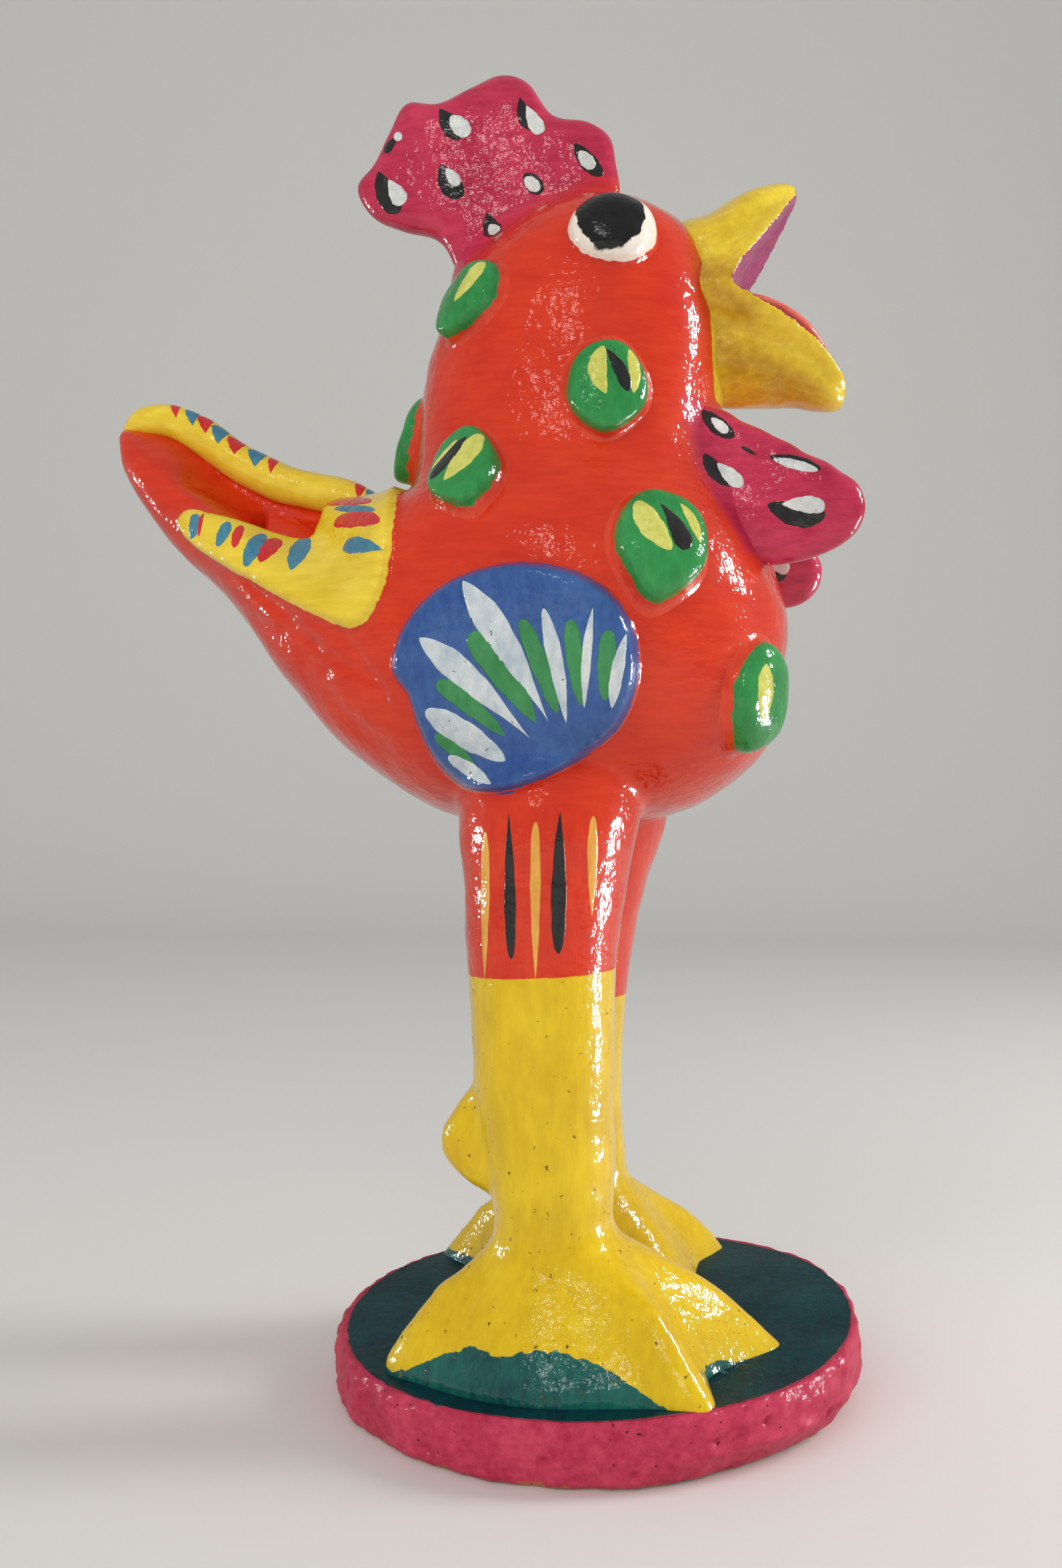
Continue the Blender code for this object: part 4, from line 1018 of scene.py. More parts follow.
def tongue_rings():
    """A flat coil: an ellipse of the tongue's width and thickness carried along its middle line."""
    x, z, half_width = smooth_curve(TONGUE, 8).T
    slope = np.gradient(z, x)
    along = np.linspace(0, 1, len(x))
    taper = np.sqrt(np.clip(1 - along ** 6, 0.01, 1))[:, None]
    around = full_turn(28)[None]
    lift = TONGUE_THICKNESS / 2 * np.sin(around) * taper
    lean = (-slope / np.hypot(slope, 1))[:, None]
    upright = (1 / np.hypot(slope, 1))[:, None]
    y = half_width[:, None] * np.cos(around) * taper
    return np.stack([x[:, None] + lift * lean, y, z[:, None] + lift * upright], axis=-1)


# Poster paint brushed along the tongue, streaked and wet with varnish: its pale salmon, lighter than
# the mouth, is a painted highlight of its lit crest
tongue_highlight_paint = varnished_paint(
    "salmon poster paint under varnish, painted highlight", "D9604F", "EE8271", sweep=(0.3, 1.0, 1.0))
tongue_mesh = tube_mesh("tongue", [tongue_rings()])
add_piece("tongue_clay", tongue_mesh, tongue_highlight_paint, ["tongue"])

# Wattles
# Two flat lobes of clay under the beak, pressed on to the neck and left to lean apart. The left one
# sagged further while it was wet. They are painted as the comb is.
WATTLE_THICKNESS = 5.4
WATTLE_MIDDLE = (24.0, 134.0)
WATTLE_OUTLINE = [
    (12.6, 145.0), (17.0, 145.8), (22.1, 143.3), (28.0, 140.1), (33.6, 136.9), (38.0, 133.8),
    (39.2, 130.2), (37.4, 126.4), (32.4, 123.6), (26.0, 122.6), (19.0, 123.6), (12.0, 129.4),
    (9.0, 138.0),
]
WATTLE_SWELL = (0.12, 10.0, 31)
WATTLE_DENTS = (0.14, 5.0, 32)

# Drops on a wattle before it is turned, black and then white
WATTLE_BLACK = [
    ((16.2, 144.9), (20.9, 140.6), 2.5, 0.7, 0.6, -0.25),
    ((16.7, 138.3), (20.5, 133.7), 2.4, 0.7, 0.6, -0.3),
    ((25.9, 137.6), (33.0, 135.6), 1.9, 0.6, 0.5, 0.2),
    ((25.6, 130.8), (33.6, 129.0), 3.6, 0.7, 0.5, -0.5),
    ((21.9, 139.2), (24.0, 138.0), 0.55, 0.5, 0.6, 0.0),
]
WATTLE_WHITE = [
    ((17.6, 143.6), (20.0, 141.3), 1.5, 0.7, 0.45, 0.0),
    ((18.5, 137.0), (22.0, 133.6), 2.2, 0.8, 0.45, 0.0),
    ((26.4, 137.3), (32.6, 135.4), 1.5, 0.6, 0.5, 0.0),
    ((27.6, 130.8), (33.6, 130.2), 2.5, 0.8, 0.4, 0.2),
]

# Which of the drops each face of a wattle has
OUTER_DROPS = slice(0, 5)
INNER_DROPS = slice(2, 4)

# The comb's poster paint, brushed along the lobe
wattle_paint = varnished_paint(
    "magenta poster paint under varnish, wattles", *MAGENTA, sweep=(0.3, 1.0, 1.0))
for side_name, side in SIDES.items():
    place = wattle_place(side_name)
    rings = slab_rings(
        WATTLE_OUTLINE, WATTLE_MIDDLE, WATTLE_THICKNESS, WATTLE_SQUARENESS, WATTLE_SWELL, WATTLE_DENTS)
    turned = carried(rings.reshape(-1, 3), place).reshape(rings.shape)
    wattle = add_piece(
        "wattle_%s_clay" % side_name, tube_mesh("wattle", [turned]), wattle_paint,
        ["wattle_" + side_name])
    for face, out, drawn, clays in (
            ("outer", side, OUTER_DROPS, (wattle, clay_body)), ("inner", -side, INNER_DROPS, (wattle,))):
        aim = Matrix.Translation(place @ Vector((0, out * WATTLE_THICKNESS / 2, 0)) * MM)
        aim = aim @ (place.to_3x3() @ Matrix(((1, 0, 0), (0, 0, out), (0, 1, 0)))).to_4x4()
        for colour, drops, paint, lift in (
                ("black", WATTLE_BLACK, black_paint, 0.0), ("white", WATTLE_WHITE, white_paint, OVER)):
            name = "wattle_%s_%s_%s" % (face, colour, side_name)
            paint_strokes(name, drops[drawn], aim, clays, paint, lift)

# Dots
# Eleven thick discs of clay pressed on to the neck and breast, their edges smeared into the body.
# Green on top, the body's red on the sides, each with two pale leaf strokes and a black one between.
# A row is x that the aim passes through, height, degrees that the aim is turned forwards, width and
# height of the disc, its lean in degrees, and its thickness.
DOTS = {
    "1": (-16.6, 160.6, 0.0, 9.4, 12.0, 38.0, 2.9),
    "2": (2.8, 146.4, 0.0, 11.4, 12.6, 8.0, 3.2),
    "3": (-16.4, 134.5, 0.0, 10.6, 13.2, -20.0, 3.4),
    "4": (10.5, 123.7, 0.0, 13.0, 15.4, 10.0, 3.6),
    "5": (-1.0, 103.6, 57.0, 12.4, 15.0, 0.0, 3.2),
}
BACK_DOT = (-1.0, 144.2, -90.0, 11.0, 12.8, 0.0, 3.0)

# How far a disc drooped to a point, how its edge was dented, how much thicker its lower end is, and
# how high on it the green starts: shares of its size or thickness
DOT_DROOP = 0.8
DOT_DENTS = 0.018
DOT_SAG = 0.16
BACK_DOT_SAG = 0.5
DOT_PAINT_START = 0.36

# A pad's root below the clay, the unevenness of its face, and how far apart the clay is felt to aim it
PAD_ROOT = 1.5
PAD_LUMPS = (0.07, 6.0)
FELT_APART = 3

# Section of a dot from its smeared foot to its middle: share of the outline, share of the thickness
DOT_SECTION = [
    (1.26, -0.10), (1.16, 0.0), (1.07, 0.12), (1.01, 0.36), (0.99, 0.62), (0.93, 0.84),
    (0.80, 0.97), (0.55, 1.04), (0.28, 1.08), (0.03, 1.09),
]

# Strokes on a dot, in mm from its middle: leaf strokes and black strokes
DOT_LEAVES = {
    "1": [((3.0, 4.4), (0.0, -1.8), 3.0, 0.45, 0.8, 0.2)],
    "2": [
        ((-0.9, 5.0), (-0.7, -1.9), 2.7, 0.6, 0.7, -0.9), ((2.9, 4.8), (3.3, -1.5), 1.9, 0.6, 0.7, 0.5),
    ],
    "3": [
        ((2.7, 4.4), (-0.7, -3.7), 3.6, 0.55, 0.8, 0.3),
        ((-0.8, 3.6), (-4.0, -0.8), 1.2, 0.7, 0.7, -0.2),
    ],
    "4": [
        ((-3.7, 4.9), (-0.2, -2.8), 3.7, 0.55, 0.6, -0.5),
        ((2.5, 4.7), (4.5, -1.3), 1.6, 0.7, 0.7, 0.4),
    ],
    "5": [((-2.6, 4.8), (-2.1, -3.4), 3.4, 0.7, 0.8, 0.0)],
    "back": [
        ((-1.8, 3.6), (-1.2, -2.6), 1.8, 0.6, 0.8, 0.0), ((2.0, 3.8), (2.2, -2.0), 1.5, 0.6, 0.8, 0.0),
    ],
}
DOT_BLACKS = {
    "2": [((-0.5, 4.6), (2.6, -1.3), 2.1, 0.9, 0.5, 0.4)],
    "3": [((0.7, 3.9), (-3.4, -3.0), 2.9, 0.8, 0.6, -0.2)],
    "4": [((-0.6, 4.5), (2.2, -2.6), 3.1, 1.1, 0.4, 0.4)],
    "back": [((-0.2, 4.0), (0.4, -3.0), 1.8, 0.9, 0.5, 0.0)],
}


def aim_from_inside(through_x, height, turn, side):
    """Where a level aim from inside the body comes out, and the mean outward direction round there."""
    direction = Vector((math.sin(math.radians(turn)), side * math.cos(math.radians(turn)), 0.0))
    start = Vector((through_x, 0, height)) * MM
    place = clay_body.ray_cast(start, direction)[1]
    out = Vector()
    for across, up in ((0, 0), (1, 0), (-1, 0), (0, 1), (0, -1)):
        sideways = Vector((0, 0, 1)).cross(direction) * (across * FELT_APART) * MM
        upwards = Vector((0, 0, up * FELT_APART * MM))
        out += clay_body.ray_cast(start + sideways + upwards, direction)[2]
    return np.array(place) / MM, out.normalized()


def pad_mesh(name, outline, section, thickness, paint_start, aim, seed, sag=0.0):
    """A pad pressed on to the body: rings at shares of its outline, dropped on to the clay and lifted
    by shares of its thickness, which grows towards its lower end by `sag`. The mark "face" is above 0
    where it stands higher than paint_start, a share of its thickness too."""
    share, rise = smooth_curve(section, 4).T
    places = share[:, None, None] * outline[None]
    landed = press_on(places.reshape(-1, 2), aim, clay_body).reshape(*places.shape[:2], 3)
    out = np.array(aim.to_3x3().col[2])
    flat = landed.reshape(-1, 3)
    uneven = 1 + unevenness(flat, [(*PAD_LUMPS, seed)]).reshape(places.shape[:2])
    uneven -= sag * places[:, :, 1] / np.abs(outline[:, 1]).max()
    rings = landed + (rise[:, None] * thickness * uneven)[:, :, None] * out
    rings = np.concatenate([rings[:1] - PAD_ROOT * out, rings])
    mesh = tube_mesh(name, [rings])
    above = np.concatenate([rise[:1], rise]) - paint_start
    above = np.repeat(above * thickness, len(outline))
    add_mark(mesh, "face", np.append(above, [-thickness, thickness]))
    return mesh


def oval(width, height, droop=0.0, press=0.0, seed=0):
    """An oval, its lower end drawn out to a blunt point by `droop`, its edge dented by `press`."""
    angle = full_turn(88)
    dents = 1 + press * (np.sin(3 * angle + 2.1 * seed) + 0.8 * np.sin(5 * angle + 1.3 * seed))
    across = np.cos(angle) * width / 2 * dents
    along = np.sin(angle) * height / 2 * dents
    point = np.clip(-np.sin(angle), 0, 1) ** 4
    return np.column_stack([across * (1 - 0.25 * droop * point), along * (1 + 0.12 * droop * point)])


# Poster paint on each disc: green that stops raggedly short of its foot, where the red shows, with
# strokes of a thin pale green
dot_paint = varnished_paint(
    "red and green poster paint under varnish", *PAD_RED,
    coats=[("face", "1F7A38", "35944B", 0.15, 0.3)], sweep=(1.0, 1.0, 0.35))
leaf_paint = varnished_paint("pale green poster paint under varnish", "B9B84A", "DCDA74", sweep=DABBED)
all_dots = [
    ("dot_%s_%s" % (side_name, key), key, row, side)
    for side_name, side in SIDES.items() for key, row in DOTS.items()]
all_dots.append(("dot_back", "back", BACK_DOT, 1))
for seed, (dot_name, key, row, side) in enumerate(all_dots):
    through_x, height, turn, width, tall, lean, thickness = row
    place, out = aim_from_inside(through_x, height, turn, side)
    outline = oval(width, tall, DOT_DROOP, DOT_DENTS, seed)
    sag = BACK_DOT_SAG if key == "back" else DOT_SAG
    mesh = pad_mesh(
        dot_name, outline, DOT_SECTION, thickness, DOT_PAINT_START, view_frame(place, out, lean), seed,
        sag)
    dot = add_piece(dot_name + "_clay", mesh, dot_paint, [dot_name])
    upright = view_frame(place, out)
    paint_strokes(dot_name + "_leaves", DOT_LEAVES[key], upright, [dot], leaf_paint)
    if key in DOT_BLACKS:
        paint_strokes(dot_name + "_black", DOT_BLACKS[key], upright, [dot], black_paint)

# Eyes
# Raised ovals of clay, pressed on near the top of the head. Painted white, with a large black pupil
# that touches the upper edge.
EYE_PLACE = (3.6, 169.4)
EYE_SIZE = (12.6, 11.2)
EYE_BULGE = 3.4
EYE_PAINT_START = 0.2
EYE_SEED = 41
PUPIL_MIDDLE = (-0.6, 1.0)
PUPIL_SIZE = (9.6, 12.0)
EYE_SECTION = [
    (1.12, -0.12), (1.05, 0.04), (1.0, 0.22), (0.96, 0.46), (0.86, 0.72), (0.68, 0.9),
    (0.4, 1.0), (0.04, 1.03),
]

# Poster paint laid on flat: a warm white and a deep black with crisp borders, both mirror-wet
eye_paint = varnished_paint(
    "red, white and black poster paint under varnish", *RED, sweep=DABBED,
    coats=[("face", "EADDCB", "FAF3E8", 0.15, 0.3), ("pupil", "0A0A0A", "191817", 0.14, 0.25)])
for side_name, side in SIDES.items():
    place, out = aim_from_inside(*EYE_PLACE, 0.0, side)
    aim = view_frame(place, out)
    mesh = pad_mesh("eye", oval(*EYE_SIZE), EYE_SECTION, EYE_BULGE, EYE_PAINT_START, aim, EYE_SEED)
    local = carried(read_points(mesh) * MM, aim.inverted())[:, :2] / MM
    offset = (local - PUPIL_MIDDLE) / (np.array(PUPIL_SIZE) / 2)
    add_mark(mesh, "pupil", (1 - np.linalg.norm(offset, axis=1)) * min(PUPIL_SIZE) / 2)
    add_piece("eye_%s_clay" % side_name, mesh, eye_paint, ["eye_" + side_name])

# Wings
# Round pads pressed on to the flanks and over the top of the thighs. Blue, with a fan of white and
# green strokes that are laid down at the rim and drawn in to the lower front.
WING_THICKNESS = 2.5
WING_PAINT_START = 0.15
WING_SEED = 51
WING_OUTLINE = [
    (-26.6, 107.4), (-24.6, 113.0), (-20.4, 117.4), (-14.6, 119.9), (-8.0, 120.7), (-1.2, 119.5),
    (3.9, 116.4), (6.8, 111.4), (7.2, 105.4), (5.0, 99.8), (0.8, 95.9), (-5.2, 92.4),
    (-11.4, 90.6), (-17.4, 91.1), (-21.0, 94.4), (-23.2, 99.4), (-24.4, 103.6),
]
WING_SECTION = [
    (1.09, -0.2), (1.045, 0.0), (1.015, 0.3), (1.0, 0.6), (0.975, 0.88), (0.93, 1.04), (0.82, 1.12),
    (0.6, 1.14), (0.3, 1.14), (0.02, 1.14),
]
WING_WHITES = [
    ((-15.9, 118.7), (-4.3, 99.4), 4.3, 0.85, 1.6, 0.5),
    ((-22.2, 111.2), (-7.0, 97.3), 3.9, 0.75, 1.5, 0.5),
    ((-21.7, 101.3), (-10.7, 94.4), 3.9, 0.5, 0.65, 0.1),
    ((-19.0, 95.0), (-12.6, 91.2), 2.1, 0.5, 0.7, 0.0),
    ((-4.7, 114.6), (-2.0, 99.4), 2.2, 0.6, 0.9, 0.3),
    ((1.9, 114.6), (0.5, 101.4), 1.4, 0.9, 0.9, -0.2),
    ((6.3, 111.2), (4.2, 101.4), 1.8, 0.9, 0.7, -0.2),
]
WING_GREENS = [
    ((-19.8, 105.2), (-10.6, 97.8), 2.7, 0.3, 0.6, 0.3),
    ((-14.8, 111.6), (-6.2, 99.6), 4.1, 0.35, 0.7, 0.4),
    ((-7.7, 113.2), (-3.2, 100.8), 2.6, 0.35, 0.5, 0.2),
    ((-1.1, 113.0), (0.2, 101.8), 2.5, 0.35, 0.5, 0.0),
    ((4.0, 111.6), (3.3, 102.4), 2.5, 0.35, 0.5, 0.0),
    ((-20.6, 98.0), (-15.2, 93.6), 2.0, 0.4, 0.6, 0.1),
]
WING_SMUDGE = [((-12.5, 90.0), (-9.3, 90.2), 0.9, 0.6, 0.6, 0.1)]
WING_WHITE_OVER = 0.3

# Poster paint: a deep blue that the brush left streaked, thin greens and whites that let it through,
# and a slip of the blue brush on the thigh
wing_paint = varnished_paint(
    "blue poster paint under varnish", *PAD_RED,
    coats=[("face", "284A86", "3E639C", 0.15, 0.25)], sweep=(1.0, 1.0, 0.35))
smudge_paint = varnished_paint("blue poster paint under varnish, smudge", "1F3F86", "2F5296")
green_paint = varnished_paint(
    "green poster paint under varnish", "2A7A40", "429056", sweep=(1.0, 1.0, 0.3))
wing_white_paint = varnished_paint(
    "thin white poster paint under varnish", "A9B6C0", "D9DDDA", sweep=(1.0, 1.0, 0.5),
    pits=(None, "3A4450"))
for side_name, side in SIDES.items():
    outline = smooth_curve(WING_OUTLINE, 8, closed=True)
    middle = outline.mean(axis=0)
    place, _ = aim_from_inside(*middle, 0.0, side)
    aim = view_frame(place, (0, side, 0))
    mesh = pad_mesh(
        "wing", outline - middle, WING_SECTION, WING_THICKNESS, WING_PAINT_START, aim, WING_SEED)
    wing = add_piece("wing_%s_clay" % side_name, mesh, wing_paint, ["wing_" + side_name])
    flank = view_frame((0, place[1], 0), (0, side, 0))
    for colour, strokes, clay, paint, lift in (
            ("green", WING_GREENS, wing, green_paint, 0.0),
            ("white", WING_WHITES, wing, wing_white_paint, WING_WHITE_OVER),
            ("smudge", WING_SMUDGE, clay_body, smudge_paint, 0.0)):
        paint_strokes("wing_%s_%s" % (colour, side_name), strokes, flank, [clay], paint, lift)

# Tail's rolled edge
# A coil of clay along the tail's upper edge, from its tip to the saddle, where it runs into the raised
# strip. Yellow, with small red and blue triangles that hang from its top.
CREST = [
    (-74.4, 146.4, 1.2), (-71.8, 148.2, 2.3), (-67.4, 148.2, 2.7), (-62.4, 145.9, 2.9),
    (-56.8, 142.0, 3.0), (-50.8, 138.7, 3.0), (-44.6, 136.8, 2.9), (-39.2, 135.6, 2.9),
    (-34.6, 133.4, 2.4),
]
CREST_DENTS = (0.14, 6.0, 61)


def coil_rings(path):
    """A coil: circles square to the middle line, whose radius follows the path."""
    x, z, radius = smooth_curve(path, 8).T
    run = np.hypot(np.gradient(x), np.gradient(z))
    lean = (-np.gradient(z) / run)[:, None]
    upright = (np.gradient(x) / run)[:, None]
    around = full_turn(36)[None]
    lift = radius[:, None] * np.sin(around)
    y = radius[:, None] * np.cos(around)
    return np.stack([x[:, None] + lift * lean, y, z[:, None] + lift * upright], axis=-1)


crest_rings = coil_rings(CREST)
flat = crest_rings.reshape(-1, 3)
flat += unevenness(flat, [CREST_DENTS])[:, None]

# Poster paint brushed along the coil: a clear streaky yellow, with small marks in thicker paint
tail_paint = varnished_paint("yellow poster paint under varnish", *TAIL_YELLOW, sweep=(0.35, 1.0, 1.0))
red_marks_paint = varnished_paint("red poster paint under varnish, marks", "BE1F22", "D83432")
blue_marks_paint = varnished_paint("grey blue poster paint under varnish", "33708A", "4E8BA0")
crest_mesh = tube_mesh("tail_crest", [crest_rings])
crest = add_piece("tail_crest_clay", crest_mesh, tail_paint, ["tail_crest"])

# Triangles on the crest, each at an x, with its width and its lean as it hangs down the side. Each
# hangs from above the coil's middle line to its side: distance from the middle plane, and height.
CREST_RED = [
    (-66.4, 1.6, 0.8), (-61.4, 2.4, 0.6), (-56.2, 2.8, 0.0), (-50.4, 1.5, 0.0), (-36.6, 1.6, 0.0),
]
CREST_BLUE = [(-63.6, 2.2, 0.7), (-58.8, 2.6, 0.0), (-52.9, 2.8, 0.0), (-35.0, 1.4, 0.0)]
TRIANGLE_TOP = (0.2, 2.8)
TRIANGLE_FOOT = (2.8, 0.4)
TRIANGLE_SHAPE = (0.25, 0.9, 0.0)
CREST_TILT = 45.0
CREST_AIM = (0, 0, 140)

# Marks on the strip's upper edge and on the lobe at the saddle. Each end is x, distance from the
# middle plane and height; then come the width and the rest as for any stroke.
BAND_TILT = 18.0
BAND_AIM = (0, 12, 128)
BAND_RED = [
    ((-58.1, 12.5, 131.9), (-58.8, 12.5, 128.3), 0.9, 0.5, 0.5, 0.0),
    ((-52.1, 14.1, 130.4), (-52.6, 14.1, 125.9), 1.5, 0.5, 0.5, 0.0),
    ((-46.9, 14.3, 129.0), (-48.2, 14.3, 123.2), 2.8, 0.4, 0.6, 0.0),
    ((-42.2, 6.0, 135.0), (-31.6, 16.8, 132.4), 2.6, 0.4, 0.5, 0.4),
    ((-38.0, 13.2, 130.4), (-29.2, 18.9, 127.6), 2.9, 0.35, 0.5, 0.4),
]
BAND_BLUE = [
    ((-59.3, 12.1, 131.8), (-60.1, 12.1, 128.2), 2.1, 0.5, 0.5, 0.3),
    ((-54.0, 13.6, 130.6), (-55.4, 13.6, 126.4), 2.0, 0.5, 0.5, 0.3),
    ((-49.0, 15.1, 129.8), (-50.5, 15.1, 123.0), 2.6, 0.5, 0.5, 0.2),
    ((-43.2, 14.2, 129.6), (-43.4, 14.2, 121.6), 3.2, 0.4, 0.7, 0.2),
    ((-38.6, 10.3, 132.6), (-30.4, 18.4, 130.2), 1.5, 0.5, 0.5, 0.1),
    ((-35.4, 18.3, 126.4), (-28.4, 20.4, 123.2), 2.6, 0.3, 0.9, 0.0),
]


def seen_along(aim, place, side):
    """Where a place on the left side, or its twin on the right, lies in a frame's plane, in mm."""
    local = aim.inverted() @ (Vector((place[0], side * place[1], place[2])) * MM)
    return local.x / MM, local.y / MM


def tilted_frame(place, degrees, side):
    """A frame at a place, or its twin on the right, that looks down on it from the given angle."""
    x, y, z = place
    turn = math.radians(degrees)
    return view_frame((x, side * y, z), (0, side * math.cos(turn), math.sin(turn)))


for side_name, side in SIDES.items():
    crest_aim = tilted_frame(CREST_AIM, CREST_TILT, side)
    band_aim = tilted_frame(BAND_AIM, BAND_TILT, side)
    crest_x, crest_z, _ = smooth_curve(CREST, 8).T
    for colour, paint, marks, bands in (
            ("red", red_marks_paint, CREST_RED, BAND_RED),
            ("blue", blue_marks_paint, CREST_BLUE, BAND_BLUE)):
        triangles = []
        for x, width, lean in marks:
            z = np.interp(x, crest_x, crest_z)
            top = seen_along(crest_aim, (x, TRIANGLE_TOP[0], z + TRIANGLE_TOP[1]), side)
            foot = seen_along(crest_aim, (x + lean, TRIANGLE_FOOT[0], z + TRIANGLE_FOOT[1]), side)
            triangles.append((top, foot, width, *TRIANGLE_SHAPE))
        paint_strokes("crest_%s_%s" % (colour, side_name), triangles, crest_aim, [crest], paint)
        leaves = [
            (seen_along(band_aim, start, side), seen_along(band_aim, end, side), *shape)
            for start, end, *shape in bands]
        paint_strokes("band_%s_%s" % (colour, side_name), leaves, band_aim, [clay_body], paint)

# Strokes on the legs
# Long thin strokes in orange yellow and black, drawn down the red of each thigh in one pull of the
# brush. Seen from the side, with the brush held out beyond the thigh.
THIGH_OUT = 30
LEG_YELLOW = [
    ((-13.6, 84.6), (-13.8, 64.0), 1.5, 0.5, 0.9, 0.0),
    ((-6.3, 86.0), (-6.4, 64.6), 1.5, 0.4, 0.8, 0.0),
    ((1.4, 86.8), (1.1, 73.0), 1.4, 0.5, 0.9, 0.0),
]
LEG_BLACK = [
    ((-10.1, 87.2), (-9.8, 67.2), 1.7, 0.9, 0.5, 0.0),
    ((-3.0, 87.6), (-3.3, 68.0), 2.1, 0.9, 0.5, 0.0),
]

# Thin poster paint: a yellow that the red below turns to orange
orange_paint = varnished_paint("orange yellow poster paint under varnish", "D99232", "EBB052")
for side_name, side in SIDES.items():
    thigh = view_frame((0, side * THIGH_OUT, 0), (0, side, 0))
    paint_strokes("leg_yellow_" + side_name, LEG_YELLOW, thigh, [clay_body], orange_paint)
    paint_strokes("leg_black_" + side_name, LEG_BLACK, thigh, [clay_body], black_paint)

# Base
# A round slab cut by hand from a sheet of clay. Its side is rough and pitted, and its lower edge is
# worn. Teal on top, magenta on the side and in a thin line round the edge of the top.
BASE_RADIUS = 39.9
BASE_HEIGHT = 9.1
BASE_PROFILE = [
    (0.4, 0.0), (20.0, 0.0), (36.0, 0.0), (38.4, 0.1), (39.4, 0.7), (39.8, 2.0), (39.9, 4.0),
    (39.9, 6.4), (39.7, 7.9), (39.2, 8.8), (38.3, 9.1), (37.0, 9.1), (20.0, 9.1), (0.4, 9.1),
]

# The slab's top is higher at the back and front and lower under the tail, by mm at the edge. The
# climb to the back starts at a y and takes a length.
BASE_BACK_LIFT = 3.2
BASE_BACK_CLIMB = (-32.0, 58.0)
BASE_FRONT_LIFT = 2.0
BASE_TAIL_DROP = 1.0

# Where the side starts, as distance from the middle, and the top, as height, and what each takes
BASE_SIDE = (36.5, 2.5)
BASE_TOP = (8.9, 0.2)

# Lumps of the cut side and of the top, and the hand's waver round the slab
BASE_ROUGHNESS = [(0.42, 9.0, 71), (0.30, 3.2, 72), (0.14, 1.5, 73)]
BASE_TOP_LUMPS = (1, 14.0, 74)
BASE_TOP_DENT = 0.10
BASE_INSET = 0.34
BASE_WAVER = 0.35

# Where the lower edge is worn away: degrees from +X, width in degrees, depth, and how high up. The
# wear starts at a distance from the middle and takes a length.
BASE_WEAR = (-38.0, 42.0, 3.6, 4.0)
BASE_WEAR_FROM = (34.0, 4.0)

# Pits in the side, each at degrees from +X and a height
BASE_PITS = [
    (-96, 4.0), (-62, 5.4), (-31, 3.6), (-122, 2.6), (-78, 2.4), (-50, 6.2), (-150, 5.0), (40, 4.4),
    (150, 3.0),
]
BASE_PIT_DEPTH = 1.2
BASE_PIT_RADIUS = 0.7

# The magenta's inner edge on the slab's top and its height on the side, and the edge of the bare clay
RIM_PAINT_EDGE = 37.9
RIM_PAINT_FOOT = 7.0
UNDER_PAINT_EDGE = 38.0
UNDER_PAINT_TOP = 0.5

# The rim's mark in the middle of the underside and of the top, which a tube's ends close on
RIM_ON_MIDDLES = (8.0, -1.0)


def turned_apart(degrees, other):
    """Degrees from one direction to others, between -180 and 180."""
    return (degrees - other + 180) % 360 - 180


def base_rings():
    """The slab: its profile turned about the Z axis. The side is uneven, with pits pressed in as
    round dents, and its lower edge is worn back round one direction. The height grows with a slope
    that climbs to the back and with the distance to the front and the tail."""
    radius, height = (column[:, None] for column in smooth_curve(BASE_PROFILE, 7).T)
    side = smooth_step(radius, *BASE_SIDE)
    angle = full_turn(420)[None]
    degrees = np.degrees(angle)
    ring = np.stack([radius * np.cos(angle), radius * np.sin(angle), height + 0 * angle], axis=-1)
    flat = ring.reshape(-1, 3)
    inwards = (BASE_INSET - unevenness(flat, BASE_ROUGHNESS).reshape(ring.shape[:2])) * side
    for turned, level in BASE_PITS:
        away = np.hypot(np.radians(turned_apart(degrees, turned)) * BASE_RADIUS, height - level)
        inwards += BASE_PIT_DEPTH * dent(away, BASE_PIT_RADIUS) * side
    waver = BASE_WAVER * (np.cos(3 * angle + 0.3) + 0.5 * np.sin(5 * angle))
    worn_at, worn_width, worn_depth, worn_top = BASE_WEAR
    worn = dent(turned_apart(degrees, worn_at), worn_width) * np.clip(1 - height / worn_top, 0, 1)
    inwards += worn_depth * worn * smooth_step(radius, *BASE_WEAR_FROM)
    shrink = 1 - (np.clip(inwards, 0, None) + (waver + 0.5) * 0.5 * side) / BASE_RADIUS
    ring[:, :, :2] *= shrink[:, :, None]
    dents = 1 + unevenness(flat, [BASE_TOP_LUMPS]).reshape(ring.shape[:2])
    ring[:, :, 2] += -BASE_TOP_DENT * dents * smooth_step(height, *BASE_TOP)
    uphill = BASE_BACK_LIFT * smooth_step(ring[:, :, 1], *BASE_BACK_CLIMB)
    forwards = ring[:, :, 0] / BASE_RADIUS
    uphill += np.where(forwards > 0, BASE_FRONT_LIFT, BASE_TAIL_DROP) * forwards
    ring[:, :, 2] = np.maximum(ring[:, :, 2] * (1 + uphill / BASE_HEIGHT), 0)
    return ring, (height - RIM_PAINT_FOOT) * np.ones_like(uphill)


base_walls, over_side = base_rings()
base_mesh = tube_mesh("base", [base_walls])
points = read_points(base_mesh)
across = np.hypot(points[:, 0], points[:, 1])
under_side = np.append(-over_side.ravel(), RIM_ON_MIDDLES)
add_mark(base_mesh, "rim", np.maximum(across - RIM_PAINT_EDGE, under_side))
add_mark(base_mesh, "under", np.minimum(UNDER_PAINT_TOP - points[:, 2], UNDER_PAINT_EDGE - across))

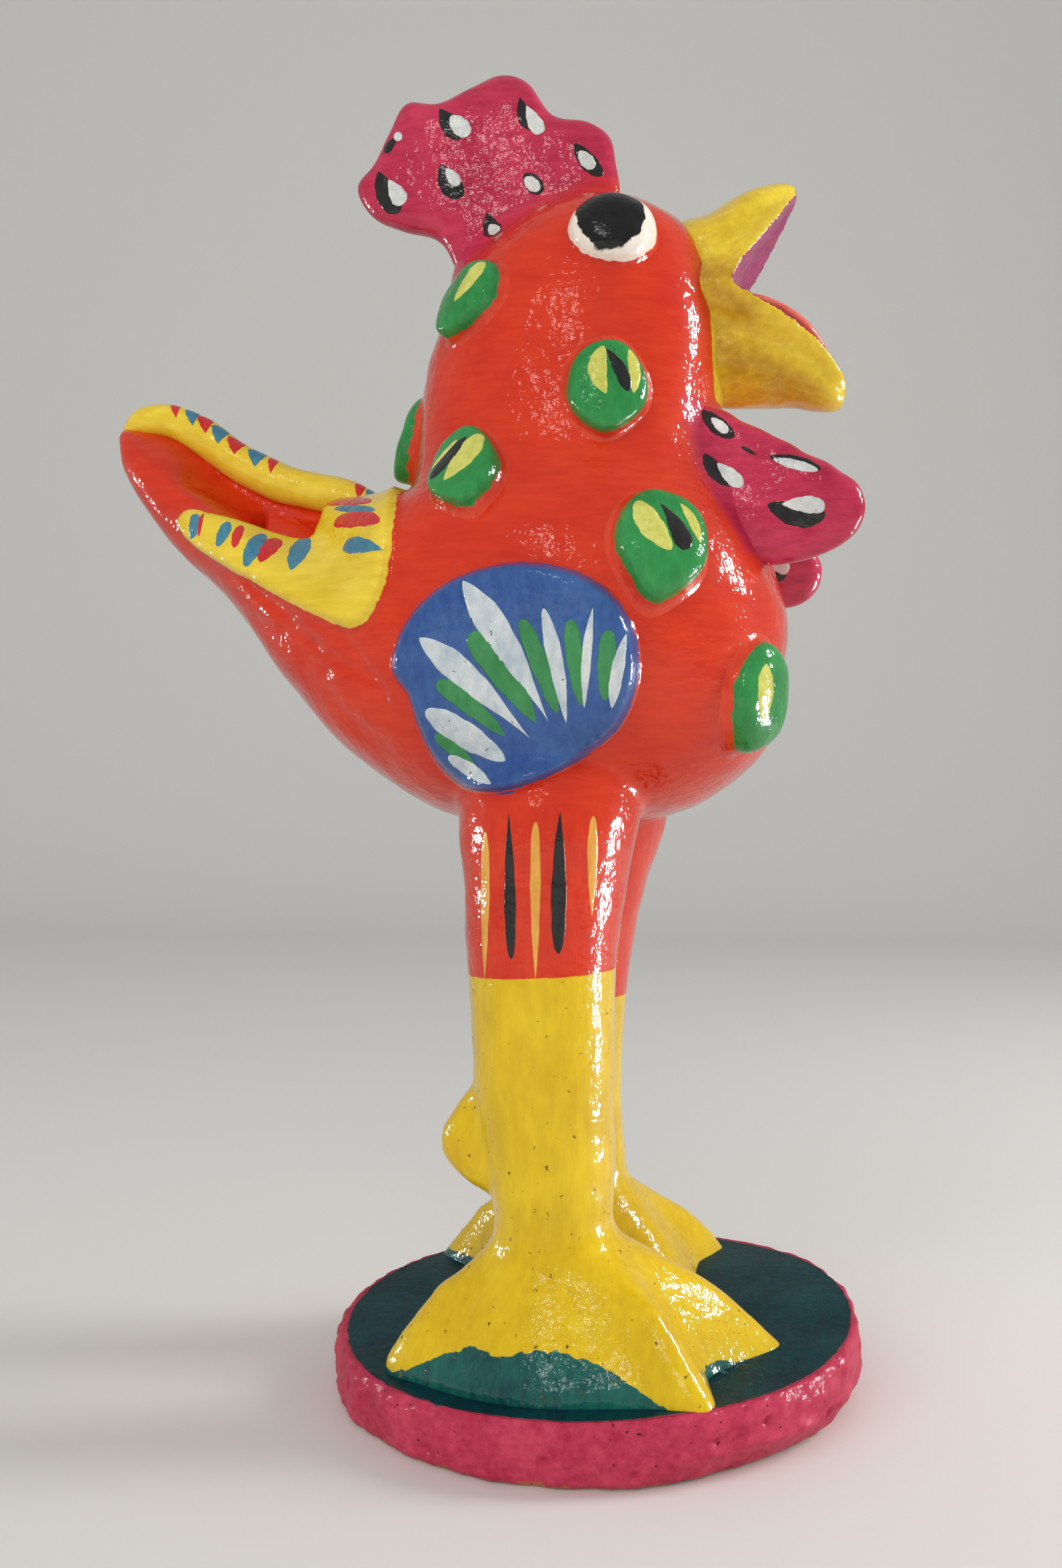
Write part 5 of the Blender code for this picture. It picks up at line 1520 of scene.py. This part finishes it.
# Poster paint with little varnish: a dark teal that is nearly matt, rough magenta round it with dark
# pits, and bare reddish clay underneath
base_paint = varnished_paint(
    "teal poster paint under varnish", "042830", "0A4046", sweep=(1.0, 0.3, 1.0),
    coats=[("rim", "A62844", "C8465E", 0.3, 0.15), ("under", "A8623C", "BC7950", 0.6, 0.8)],
    pits=("rim", "3C1820"), dull=0.5, gloss=0.16)
add_piece("base_slab", base_mesh, base_paint, ["base_disc"])

# Stage
# A pale sweep of card behind and under the figurine, soft light from the front, and a tall window
# that stands to its right, as in the photograph. The camera is level, a quarter of a metre away.
CAMERA_PLACE = (19.5, -242.2, 91.2)
CAMERA_TURN = 7.0
CAMERA_LENS = 36.56
SENSOR = 36.0
CARD_HALF_WIDTH = 2200.0
CARD_FRONT = -1500.0
CARD_BEND_START = 700.0
CARD_BEND_RADIUS = 400.0
CARD_TOP = 2200.0


def sweep_mesh():
    """The floor runs back, curves up through a quarter of a circle and becomes the backdrop."""
    bend = np.linspace(0, math.pi / 2, 24)
    back = CARD_BEND_START + CARD_BEND_RADIUS * np.append(np.sin(bend), 1.0)
    back = np.append(CARD_FRONT, back)
    height = np.concatenate([[0.0], CARD_BEND_RADIUS * (1 - np.cos(bend)), [CARD_TOP]])
    width = np.array([-CARD_HALF_WIDTH, CARD_HALF_WIDTH])
    grid = np.stack(np.broadcast_arrays(width[None], back[:, None], height[:, None]), axis=-1)
    index = np.arange(grid.shape[0] * 2).reshape(-1, 2)
    faces = np.stack([index[:-1, 0], index[:-1, 1], index[1:, 1], index[1:, 0]], axis=-1)
    mesh = bpy.data.meshes.new("sweep")
    mesh.from_pydata((grid.reshape(-1, 3) * MM).tolist(), [], faces.tolist())
    mesh.shade_smooth()
    return mesh


# Matt card: pale, even, and without shine
card = bpy.data.materials.new("pale grey card")
card.use_nodes = True
card_shader = card.node_tree.nodes["Principled BSDF"]
card_shader.inputs["Base Color"].default_value = linear("E4E2DD")
card_shader.inputs["Roughness"].default_value = 0.9
sweep = bpy.data.objects.new("sweep", sweep_mesh())
sweep.data.materials.append(card)
bpy.context.scene.collection.objects.link(sweep)

# What the lights face
LIT_MIDDLE = Vector((0, 0, 100))


def add_window(name, place, size, power, shines=True, lights=True):
    """A soft rectangular light that faces the figurine. It shines in the varnish, lights the paint, or
    both."""
    lamp = bpy.data.lights.new(name, "AREA")
    lamp.shape = "RECTANGLE"
    lamp.size, lamp.size_y = (length * MM for length in size)
    lamp.energy = power
    window = bpy.data.objects.new(name, lamp)
    window.location = Vector(place) * MM
    window.rotation_euler = (Vector(place) - LIT_MIDDLE).to_track_quat("Z", "Y").to_euler()
    window.visible_glossy = shines
    window.visible_diffuse = lights
    window.visible_camera = False
    bpy.context.scene.collection.objects.link(window)


# Place, width and height, and watts of each: the window's light and the panes' shine, the room's soft
# light, and the shine of a lamp overhead and of a gap low on the left
add_window("window_right", (560, 110, 240), (160, 560), 3.0, shines=False)
add_window("panes_above", (250, 10, 225), (20, 70), 0.6, lights=False)
add_window("panes_below", (260, 30, 44), (18, 84), 0.75, lights=False)
add_window("soft_front", (-260, -1050, 560), (1300, 1000), 8.9, shines=False)
add_window("lamp_above", (-80, -515, 400), (80, 60), 0.15, lights=False)
add_window("low_left", (-540, 30, 90), (50, 60), 0.6, lights=False)

world = bpy.data.worlds.new("pale room")
bpy.context.scene.world = world
world.use_nodes = True
world.node_tree.nodes["Background"].inputs["Color"].default_value = linear("F2F4F7")
world.node_tree.nodes["Background"].inputs["Strength"].default_value = 0.45

camera = bpy.data.objects.new("camera", bpy.data.cameras.new("camera"))
camera.data.sensor_fit = "VERTICAL"
camera.data.sensor_height = SENSOR
camera.data.lens = CAMERA_LENS
camera.data.clip_start = 0.01
camera.location = Vector(CAMERA_PLACE) * MM
camera.rotation_euler = (math.radians(90), 0, math.radians(CAMERA_TURN))
bpy.context.scene.collection.objects.link(camera)
bpy.context.scene.camera = camera
bpy.context.scene.view_settings.view_transform = "Standard"
